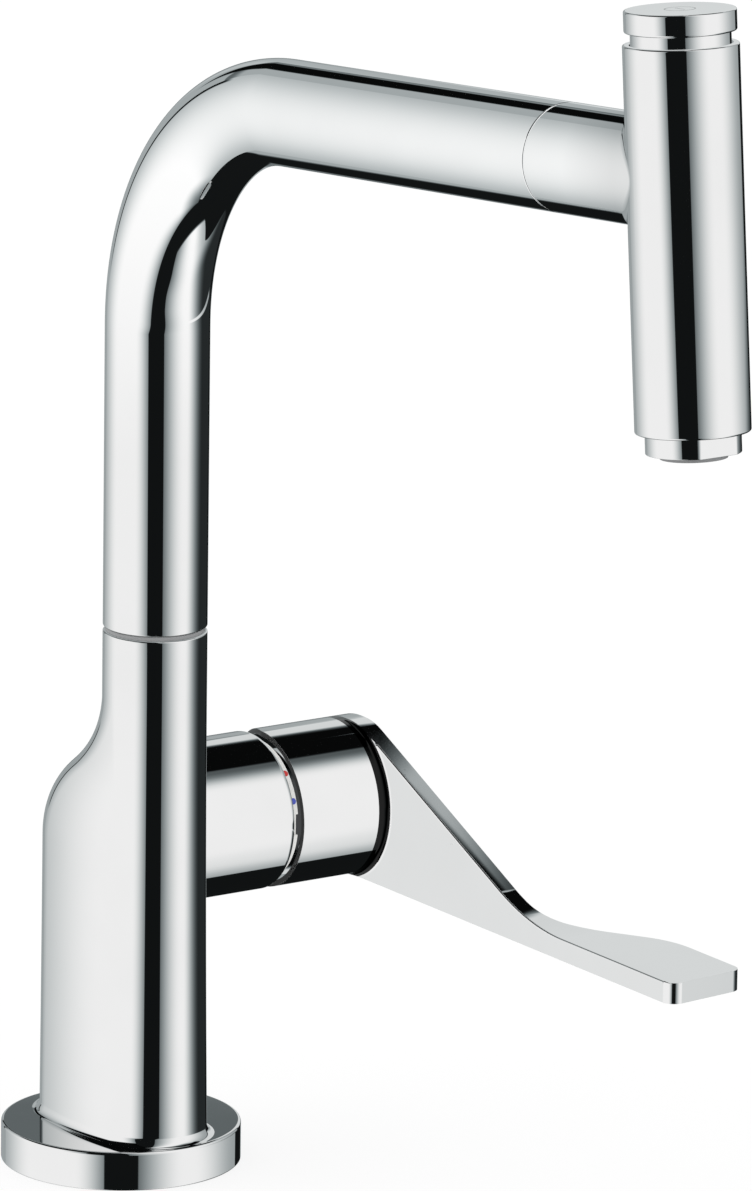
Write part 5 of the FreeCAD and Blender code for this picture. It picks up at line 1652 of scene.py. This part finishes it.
# Threads, screws and the spring: one tree winds a ridge or a wire and copies it to its places.
def coil_tree() -> bpy.types.NodeTree:
    """Geometry Nodes that wind a ridge or a wire and set copies of it round a circle.

    Returns:
        The tree.
    """
    tree, given, result = new_group(
        "Wound coil",
        {
            "Coil Radius": (FLOAT, 0.0155), "Turns": (FLOAT, 10.0), "Length": (FLOAT, 0.02),
            "Wire Radius": (FLOAT, 0.0006), "Sides": ("NodeSocketInt", 4), "Steps": ("NodeSocketInt", 32),
            "Copies": ("NodeSocketInt", 1), "Circle": (FLOAT, 0.0),
            "Place": (VECTOR_SOCKET, (0.0, 0.0, 0.0)), "Tilt": (VECTOR_SOCKET, (0.0, 0.0, 0.0)),
            "Finish": ("NodeSocketMaterial", None),
        },
        {"Geometry": GEOMETRY},
        "GeometryNodeTree",
    )
    wound = tree.node("GeometryNodeCurveSpiral", {
        "Resolution": given.outputs["Steps"], "Rotations": given.outputs["Turns"],
        "Start Radius": given.outputs["Coil Radius"], "End Radius": given.outputs["Coil Radius"],
        "Height": given.outputs["Length"],
    })
    wire = tree.node("GeometryNodeCurvePrimitiveCircle", {
        "Resolution": given.outputs["Sides"], "Radius": given.outputs["Wire Radius"]
    })
    swept = tree.node("GeometryNodeCurveToMesh", {
        "Curve": wound.outputs[0], "Profile Curve": wire.outputs["Curve"], "Fill Caps": True
    })
    spots = tree.node("GeometryNodeMeshCircle", {
        "Vertices": given.outputs["Copies"], "Radius": given.outputs["Circle"]
    })
    copies = tree.node("GeometryNodeInstanceOnPoints", {
        "Points": spots.outputs[0], "Instance": swept.outputs[0]
    })
    one = tree.node("GeometryNodeGeometryToInstance", {"Geometry": swept.outputs[0]})
    several = tree.node(
        "FunctionNodeCompare", {2: given.outputs["Copies"], 3: 2}, data_type="INT", operation="GREATER_EQUAL"
    )
    choices = {0: several.outputs[0], 1: one.outputs[0], 2: copies.outputs[0]}
    chosen = tree.node("GeometryNodeSwitch", choices, input_type="GEOMETRY")
    real = tree.node("GeometryNodeRealizeInstances", {"Geometry": chosen.outputs[0]})
    placed = tree.node("GeometryNodeTransform", {
        "Geometry": real.outputs[0], "Translation": given.outputs["Place"], "Rotation": given.outputs["Tilt"]
    })
    shaded = tree.node("GeometryNodeSetShadeSmooth", {"Geometry": placed.outputs[0], "Shade Smooth": True})
    finished = tree.node("GeometryNodeSetMaterial", {
        "Geometry": shaded.outputs[0], "Material": given.outputs["Finish"]
    })
    tree.link(finished.outputs[0], result.inputs[0])
    return tree.tree


def grown(name: str, tree: bpy.types.NodeTree, values: dict) -> bpy.types.Object:
    """Run a Geometry Nodes tree with named values and keep the plain mesh.

    Args:
        name: the new object's name.
        tree: the tree.
        values: input names and their values.

    Returns:
        The object with the tree's result.
    """
    made = mesh_object(name, np.zeros((0, 3)), [])
    modifier = made.modifiers.new(name, "NODES")
    modifier.node_group = tree
    for item in tree.interface.items_tree:
        if item.item_type == "SOCKET" and item.in_out == "INPUT" and item.name in values:
            modifier[item.identifier] = values[item.name]
    return applied(made)


@dataclass
class Threads:
    """Threads of the shank and of the clamp screws, and the button's spring."""

    shank_radius: float = 15.45
    shank_top: float = -30.0
    shank_bottom: float = -49.4
    shank_pitch: float = 1.5
    shank_ridge: float = 0.42
    shank_steps: int = 72
    ridge_sides: int = 4
    screw_radius: float = 2.45
    screw_circle: float = 20.5
    screw_bottom: float = -47.4
    screw_length: float = 11.8
    screw_pitch: float = 0.8
    screw_ridge: float = 0.22
    screw_steps: int = 28
    screw_count: int = 3
    spring_radius: float = 3.9
    spring_wire: float = 0.45
    spring_turns: float = 7.0
    spring_bottom: float = 15.35
    spring_top: float = 37.95
    spring_sides: int = 12
    spring_steps: int = 40

    def build(self, shop: Workshop) -> None:
        """Wind the two threads and the spring.

        Args:
            shop: the workshop that dresses the piece.
        """
        tree = coil_tree()
        length = self.shank_top - self.shank_bottom
        shank = grown("shank_thread", tree, {
            "Coil Radius": self.shank_radius * MM, "Turns": length / self.shank_pitch, "Length": length * MM,
            "Wire Radius": self.shank_ridge * MM, "Sides": self.ridge_sides, "Steps": self.shank_steps,
            "Place": (0.0, 0.0, self.shank_bottom * MM), "Finish": shop.materials[Slot.BRASS],
        })
        shop.dress(shank, Slot.BRASS, Body.BASE)
        screws = grown("clamp_screw_threads", tree, {
            "Coil Radius": self.screw_radius * MM, "Turns": self.screw_length / self.screw_pitch,
            "Length": self.screw_length * MM, "Wire Radius": self.screw_ridge * MM, "Sides": self.ridge_sides,
            "Steps": self.screw_steps, "Copies": self.screw_count, "Circle": self.screw_circle * MM,
            "Place": (0.0, 0.0, self.screw_bottom * MM), "Finish": shop.materials[Slot.STEEL],
        })
        shop.dress(screws, Slot.STEEL, Body.BASE)
        foot = np.array(HEAD_ORIGIN) + np.array(HEAD_UP) * self.spring_bottom
        spring = grown("return_spring", tree, {
            "Coil Radius": self.spring_radius * MM, "Turns": self.spring_turns,
            "Length": (self.spring_top - self.spring_bottom) * MM, "Wire Radius": self.spring_wire * MM,
            "Sides": self.spring_sides, "Steps": self.spring_steps,
            "Place": tuple(foot * MM), "Tilt": (0.0, -SPOUT_RISE, 0.0), "Finish": shop.materials[Slot.STEEL],
        })
        shop.dress(spring, Slot.STEEL, Body.BUTTON, "button_spring")


@dataclass
class Hoses:
    """The braided hose in the body, in the spout and to the spray head."""

    radius: float = 4.5
    wall: float = 1.5
    ring_points: int = 48
    upper_start: float = 125.5
    upper_step: float = 1.5
    gap: float = 0.3
    front_start: float = 129.8
    front_end: float = 181.5
    blend_start: float = 131.0
    blend_end: float = 166.0
    blend_rings: int = 320

    def marked(self, made: bpy.types.Object, outline: Sequence[tuple]) -> None:
        """Store each point's turn and length along the hose for the braid.

        Args:
            made: the hose.
            outline: radius and place of each ring.
        """
        layer = made.data.attributes.new("hose_place", "FLOAT_VECTOR", "POINT")
        values = []
        for _, along in outline:
            for index in range(self.ring_points):
                values.extend((index / self.ring_points, along * MM, 0.0))
        layer.data.foreach_set("vector", values)

    def hose(
        self, name: str, axis: StraightAxis | SpoutAxis, start: float, end: float, step: float
    ) -> bpy.types.Object:
        """Make a tube along an axis with its outer wall divided evenly.

        Args:
            name: the object's name.
            axis: the line that the hose follows.
            start: where it starts along the line.
            end: where it ends.
            step: the longest stretch between two rings.

        Returns:
            The hose.
        """
        count = max(2, math.ceil((end - start) / step))
        stops = [start + (end - start) * index / count for index in range(count + 1)]
        bore = self.radius - self.wall
        outline = [(self.radius, stop) for stop in stops] + [(bore, stop) for stop in reversed(stops)]
        turns = np.arange(self.ring_points) * 2 * math.pi / self.ring_points
        points = np.concatenate([axis.ring(radius, along, turns) for radius, along in outline])
        made = mesh_object(name, points, strip_faces(len(outline), self.ring_points, close_rows=True))
        self.marked(made, outline)
        working = bmesh.new()
        working.from_mesh(made.data)
        bmesh.ops.recalc_face_normals(working, faces=working.faces)
        working.to_mesh(made.data)
        working.free()
        return smooth(made)

    def build(self, shop: Workshop) -> None:
        """Make the spout's hose and the stretch between the spout and the head, which is left on no moving
        body.

        Args:
            shop: the workshop that dresses the piece.
        """
        inside = SPOUT_AXIS.from_corner(self.front_start - self.gap)
        upper = self.hose("spout_hose", SPOUT_AXIS, self.upper_start - SPOUT_START, inside, self.upper_step)
        shop.dress(upper, Slot.HOSE, Body.SPOUT, "hose_upper")
        arm = StraightAxis((COLUMN_X, 0.0, ARM_HEIGHT), HEAD_X, (0.0, 1.0, 0.0))
        step = (self.front_end - self.front_start) / self.blend_rings
        front = self.hose("pull_out_hose", arm, self.front_start, self.front_end, step)
        front.data.materials.append(shop.materials[Slot.HOSE])
        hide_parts("hose_front")
        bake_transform(front)
        log.info("%s: %d faces, between the spout and the head", front.name, len(front.data.polygons))


# Camera, floor and light. Directions are in degrees: azimuth from +X towards +Y, and elevation over
# the horizon. Levels are brightness as a photograph shows it, from 0 to 1.
@dataclass(frozen=True)
class Ramp:
    """A smooth rise from 0 at one angle to a height at another, which may be the smaller."""

    start: float
    end: float
    height: float = 1.0

    def of(self, angle: Signal) -> Signal:
        """Height at an angle."""
        return angle.eased(self.start, self.end, self.height)


@dataclass(frozen=True)
class Band:
    """A stretch of angles between a rise and a drop."""

    rise: Ramp
    drop: Ramp

    def of(self, angle: Signal) -> Signal:
        """Height at an angle."""
        return self.rise.of(angle) * self.drop.of(angle)


@dataclass(frozen=True)
class Slant:
    """A straight border that falls with the azimuth from a given direction."""

    azimuth: float
    elevation: float
    slope: float

    def at(self, azimuth: Signal) -> Signal:
        """Elevation of the border at an azimuth."""
        return azimuth * self.slope + (self.elevation - self.azimuth * self.slope)


@dataclass(frozen=True)
class Edge:
    """The upright edge of a panel: its azimuth, and how it leans over ranges of elevation."""

    azimuth: float
    leans: tuple
    softness: float = 0.7

    def inside(self, azimuth: Signal, elevation: Signal, way: float) -> Signal:
        """How far a direction lies inside the edge, for a panel on the given side of it.

        Args:
            azimuth: azimuth of the direction.
            elevation: its elevation.
            way: 1 for a panel at larger azimuths than the edge, or -1.

        Returns:
            Degrees inside the edge.
        """
        place = azimuth * way - self.azimuth * way
        for lean in self.leans:
            place = place - lean.of(elevation) * way
        return place

    def cover(self, inside: Signal) -> Signal:
        """Soft step at the edge."""
        return inside.stepped(self.softness)


@dataclass(frozen=True)
class Fade:
    """A panel's level: full at its middle and dimmer towards its edge."""

    full: float
    dimming: float
    reach: float

    def level(self, inside: Signal) -> Signal:
        """Level by how far inside the edge a direction is."""
        rest = 1.0 - (inside * (1.0 / self.reach)).most(0.0).least(1.0)
        return self.full - rest * rest * self.dimming


@dataclass(frozen=True)
class LeftPanel:
    """The panel on the camera's left, which reaches round to the back and has a dark rim there."""

    edge: Edge = Edge(-48.5, (Ramp(-17.0, -4.0, -17.0),))
    fade: Fade = Fade(0.93, 0.43, 30.0)
    back_loss: Ramp = Ramp(-128.0, -192.0, 0.3)
    foot: Ramp = Ramp(-68.0, -92.0)
    foot_share: float = 0.35
    rim_width: Ramp = Ramp(-175.5, -177.5)
    rim_height: Band = Band(Ramp(-11.0, -8.0), Ramp(20.0, 16.0))
    top: Ramp = Ramp(33.0, 37.0)
    dark_share: float = 0.04

    def seen(self, azimuth: Signal, elevation: Signal) -> tuple:
        """Cover and level by direction.

        Args:
            azimuth: azimuth of the direction.
            elevation: its elevation.

        Returns:
            How far the part covers the direction, and its level there.
        """
        inside = self.edge.inside(azimuth, elevation, -1.0)
        level = self.fade.level(inside) - self.back_loss.of(azimuth)
        level = level * self.foot.of(elevation).between(1.0, self.foot_share)
        rim = self.rim_width.of(azimuth) * self.rim_height.of(elevation)
        level = level * rim.most(self.top.of(elevation)).between(1.0, self.dark_share)
        return self.edge.cover(inside), level


@dataclass(frozen=True)
class RightPanel:
    """The panel on the camera's right, which fades on its far side and has a round foot."""

    edge: Edge = Edge(-16.0, (Ramp(-17.0, -4.0, -9.0), Ramp(-17.0, -26.0, -3.0), Ramp(-30.0, -45.0, 6.0)))
    fade: Fade = Fade(0.93, 0.51, 48.0)
    upper: Ramp = Ramp(-12.5, -9.0)
    upper_slit: Band = Band(Ramp(-16.7, -16.9), Ramp(-18.2, -17.8))
    lower: Ramp = Ramp(-34.0, -50.0)
    top: Ramp = Ramp(40.0, 56.0)
    middle_loss: Ramp = Ramp(36.0, 88.0, 0.8)
    upper_loss: Ramp = Ramp(42.0, 110.0, 0.32)
    lower_loss: Ramp = Ramp(40.0, 80.0, 0.3)
    top_loss: Ramp = Ramp(40.0, 76.0, 0.6)
    middle_least: float = 0.15
    middle_end: float = 120.0
    upper_end: float = 111.0
    lower_end: float = 75.5
    end_softness: float = 1.0
    foot_azimuth: float = 42.0
    foot_depth: float = 69.5
    foot_least: float = 0.02
    foot_softness: float = 1.5

    def lowest(self, azimuth: Signal) -> Signal:
        """Elevation of the round foot at an azimuth.

        Args:
            azimuth: azimuth of the direction.

        Returns:
            The elevation.
        """
        turn = (azimuth - self.foot_azimuth) * math.radians(1.0)
        reach = turn.through("COSINE", turn).most(self.foot_least) * math.tan(math.radians(self.foot_depth))
        return reach.through("ARCTANGENT", reach) * -math.degrees(1.0)

    def seen(self, azimuth: Signal, elevation: Signal) -> tuple:
        """Cover and level by direction.

        Args:
            azimuth: azimuth of the direction.
            elevation: its elevation.

        Returns:
            How far the part covers the direction, and its level there.
        """
        inside = self.edge.inside(azimuth, elevation, 1.0)
        high = self.upper.of(elevation).most(self.upper_slit.of(elevation))
        low = self.lower.of(elevation)
        loss = high.between(self.middle_loss.of(azimuth), self.upper_loss.of(azimuth))
        loss = low.between(loss, self.lower_loss.of(azimuth))
        loss = self.top.of(elevation).between(loss, self.top_loss.of(azimuth))
        level = (self.fade.level(inside) - loss).most(high.between(self.middle_least, 0.0))
        end = low.between(high.between(self.middle_end, self.upper_end), self.lower_end)
        cover = self.edge.cover(inside) * (end - azimuth).stepped(self.end_softness)
        return cover * (elevation - self.lowest(azimuth)).stepped(self.foot_softness), level


@dataclass(frozen=True)
class BackWall:
    """The pale wall behind the tap. It is dimmer beyond a fold, and its foot falls from an azimuth on."""

    edge: Edge = Edge(136.0, (Ramp(-12.0, 2.0, -22.0),), 2.0)
    foot: Slant = Slant(144.0, -21.0, -0.62)
    foot_softness: float = 1.2
    full: float = 0.6
    lift_up: Ramp = Ramp(-8.0, 6.0, 0.22)
    lift_across: Ramp = Ramp(165.0, 150.0)
    fold: Ramp = Ramp(145.2, 146.6)
    fold_loss: Ramp = Ramp(160.0, 150.0, 0.19)
    stripe_loss: Band = Band(Ramp(16.3, 16.8), Ramp(22.0, 18.0, 0.25))

    def seen(self, azimuth: Signal, elevation: Signal) -> tuple:
        """Cover and level by direction.

        Args:
            azimuth: azimuth of the direction.
            elevation: its elevation.

        Returns:
            How far the part covers the direction, and its level there.
        """
        inside = self.edge.inside(azimuth, elevation, 1.0)
        lowest = self.foot.at(azimuth.most(self.foot.azimuth))
        cover = self.edge.cover(inside) * (elevation - lowest).stepped(self.foot_softness)
        level = self.lift_up.of(elevation) * self.lift_across.of(azimuth) + self.full
        loss = self.fold_loss.of(azimuth) + self.stripe_loss.of(elevation)
        return cover, level - self.fold.of(azimuth) * loss


@dataclass(frozen=True)
class Flag:
    """The slanting dark flag over the back wall, with one small glint."""

    lower: Slant = Slant(154.0, 21.5, -0.95)
    highest: float = 39.5
    upper: Slant = Slant(168.0, 27.0, -1.2)
    softness: float = 1.5
    width: Band = Band(Ramp(78.0, 84.0), Ramp(170.0, 168.0))
    full: float = 0.03
    glint: float = 0.66
    glint_width: Band = Band(Ramp(119.3, 120.9), Ramp(121.7, 121.2))
    glint_height: Band = Band(Ramp(50.0, 50.2), Ramp(51.0, 50.75))

    def seen(self, azimuth: Signal, elevation: Signal) -> tuple:
        """Cover and level by direction.

        Args:
            azimuth: azimuth of the direction.
            elevation: its elevation.

        Returns:
            How far the part covers the direction, and its level there.
        """
        above = (elevation - self.lower.at(azimuth).least(self.highest)).stepped(self.softness)
        below = (self.upper.at(azimuth) - elevation).stepped(self.softness)
        glint = self.glint_width.of(azimuth) * self.glint_height.of(elevation)
        return above * below * self.width.of(azimuth), glint.between(self.full, self.glint)


@dataclass(frozen=True)
class Surroundings:
    """What the metal reflects: two soft panels, a pale back wall, a dark flag and dark gaps."""

    gap_level: float = 0.07
    parts: tuple = (RightPanel(), BackWall(), LeftPanel(), Flag())

    def level(self, azimuth: Signal, elevation: Signal) -> Signal:
        """Level in a direction: each part lies over those before it.

        Args:
            azimuth: azimuth of the direction.
            elevation: its elevation.

        Returns:
            The level.
        """
        shown = self.gap_level
        for part in self.parts:
            cover, level = part.seen(azimuth, elevation)
            shown = cover.between(shown, level)
        return shown


@dataclass
class Studio:
    """A white studio with the camera, a pale floor and one soft lamp."""

    camera_place: tuple = (2397.75, -1543.13, 876.71)
    focal_pixels: float = 10981.0
    photo_height: float = 1191.0
    sensor: float = 36.0
    clip: tuple = (0.05, 60.0)
    yaw: float = -0.97538
    pitch: float = math.radians(14.16)
    roll: float = 0.0132
    surroundings: Surroundings = Surroundings()
    red_loss: float = 0.12
    red_limit: float = 0.93
    blue_gain: float = 0.03
    blue_limit: float = 0.85
    reflectance: float = 0.8
    matt_light: float = 0.85
    sun_strength: float = 0.8
    sun_angle: float = math.radians(70)
    sun_tilt: tuple = (math.radians(28), math.radians(-18), 0.0)
    shadow_share: float = 0.2
    floor_radius: float = 12.0
    floor_drop: float = 0.0001
    floor_points: int = 96
    floor_roughness: float = 0.9

    def add_camera(self) -> None:
        """Put the camera where the photograph was taken from."""
        data = bpy.data.cameras.new("Camera")
        data.sensor_fit = "AUTO"
        data.sensor_width = self.sensor
        data.lens = self.focal_pixels / self.photo_height * self.sensor
        data.clip_start, data.clip_end = self.clip
        camera = bpy.data.objects.new("Camera", data)
        bpy.context.scene.collection.objects.link(camera)
        flat = Vector((math.sin(self.yaw), math.cos(self.yaw), 0.0))
        forward = flat * math.cos(self.pitch) - Vector((0, 0, 1)) * math.sin(self.pitch)
        right = forward.cross(Vector((0, 0, 1))).normalized()
        up = right.cross(forward)
        rolled_right = right * math.cos(self.roll) + up * math.sin(self.roll)
        rolled_up = rolled_right.cross(forward)
        turn = Matrix((rolled_right, rolled_up, -forward)).transposed().to_4x4()
        camera.matrix_world = Matrix.Translation(Vector(self.camera_place) * MM) @ turn
        bpy.context.scene.camera = camera

    def add_world(self) -> None:
        """Show white to the camera, plain white light to matt surfaces and the surroundings to metal."""
        world = bpy.data.worlds.new("Studio")
        bpy.context.scene.world = world
        world.use_nodes = True
        tree = Tree(world.node_tree)
        direction = tree.node("ShaderNodeTexCoord").outputs["Generated"]
        x, y, z = signals(tree, direction)
        azimuth = y.through("ARCTAN2", y, x) * math.degrees(1.0)
        elevation = z.through("ARCSINE", z) * math.degrees(1.0)
        level = self.surroundings.level(azimuth, elevation)
        red = level - level * (self.red_limit - level).most(0.0) * self.red_loss
        blue = level + level * (self.blue_limit - level).most(0.0) * self.blue_gain
        channels = []
        for channel in (red, level, blue):
            coded = channel * (1 / SRGB_SCALE) + (SRGB_SCALE - 1) / SRGB_SCALE
            channels.append((coded.through("POWER", coded, SRGB_POWER) * (1 / self.reflectance)).socket)
        tint = tree.node("ShaderNodeCombineColor", dict(enumerate(channels))).outputs[0]
        ray = tree.node("ShaderNodeLightPath").outputs
        matt = (self.matt_light, self.matt_light, self.matt_light, 1.0)
        shown = tree.mix(ray["Is Camera Ray"], matt, (1.0, 1.0, 1.0, 1.0))
        mirrored = tree.math("MAXIMUM", ray["Is Glossy Ray"], ray["Is Transmission Ray"])
        shown = tree.mix(mirrored, shown, tint)
        tree.link(shown, world.node_tree.nodes["Background"].inputs["Color"])

    def add_lamp(self) -> None:
        """Hang one wide soft lamp that shapes the matt pieces and softens the shadow."""
        data = bpy.data.lights.new("Soft lamp", "SUN")
        data.energy = self.sun_strength
        data.angle = self.sun_angle
        lamp = bpy.data.objects.new("Soft lamp", data)
        lamp.rotation_euler = self.sun_tilt
        lamp.visible_glossy = False
        bpy.context.scene.collection.objects.link(lamp)

    def add_floor(self) -> None:
        """Lay a pale round floor under the tap, which metal doesn't mirror and which is clear from below."""
        turns = np.arange(self.floor_points) * 2 * math.pi / self.floor_points
        height = np.full(len(turns), -self.floor_drop)
        rim = np.stack([np.cos(turns) * self.floor_radius, np.sin(turns) * self.floor_radius, height], 1)
        floor = mesh_object("floor", rim / MM, [tuple(range(self.floor_points))])
        material, tree, shader = material_tree("Pale floor")
        shader.inputs["Base Color"].default_value = (1.0, 1.0, 1.0, 1.0)
        shader.inputs["Roughness"].default_value = self.floor_roughness
        shader.inputs["Specular IOR Level"].default_value = 0.0
        white = tree.node("ShaderNodeEmission", {"Color": (1.0, 1.0, 1.0, 1.0), "Strength": 1.0})
        clear = tree.node("ShaderNodeBsdfTransparent")
        facing = tree.node("ShaderNodeNewGeometry").outputs["Backfacing"]
        pale = tree.node("ShaderNodeMixShader", {
            0: self.shadow_share, 1: white.outputs[0], 2: shader.outputs[0]
        })
        mixed = tree.node("ShaderNodeMixShader", {0: facing, 1: pale.outputs[0], 2: clear.outputs[0]})
        tree.link(mixed.outputs[0], material.node_tree.nodes["Material Output"].inputs["Surface"])
        floor.data.materials.append(material)
        floor.visible_glossy = False
        floor.visible_transmission = False

    def build(self) -> None:
        """Set the studio up."""
        self.add_camera()
        self.add_world()
        self.add_lamp()
        self.add_floor()
        bpy.context.scene.view_settings.view_transform = "Standard"


def set_visibility() -> None:
    """Let mirrored rays see only the body, and keep the lever out of the matt pieces' light."""
    for made in bpy.data.objects:
        if made.type == "MESH" and made.name != MIRRORED_PIECE:
            made.visible_glossy = False
    bpy.data.objects[UNLIT_PIECE].visible_diffuse = False


def main() -> None:
    """Build every sub-assembly in order and report each piece."""
    logging.basicConfig(level=logging.INFO, format="%(name)s: %(message)s")
    shop = Workshop()
    shop.dress_nodes()
    parts = (
        DeckDisc(), MixerBody(), SwivelRing(), Spout(), SprayHead(), HeadButton(), BarrelGap(), Lever(),
        Threads(), Hoses(),
    )
    for part in parts:
        part.build(shop)
    Studio().build()
    set_visibility()


if __name__ == "__main__":
    main()
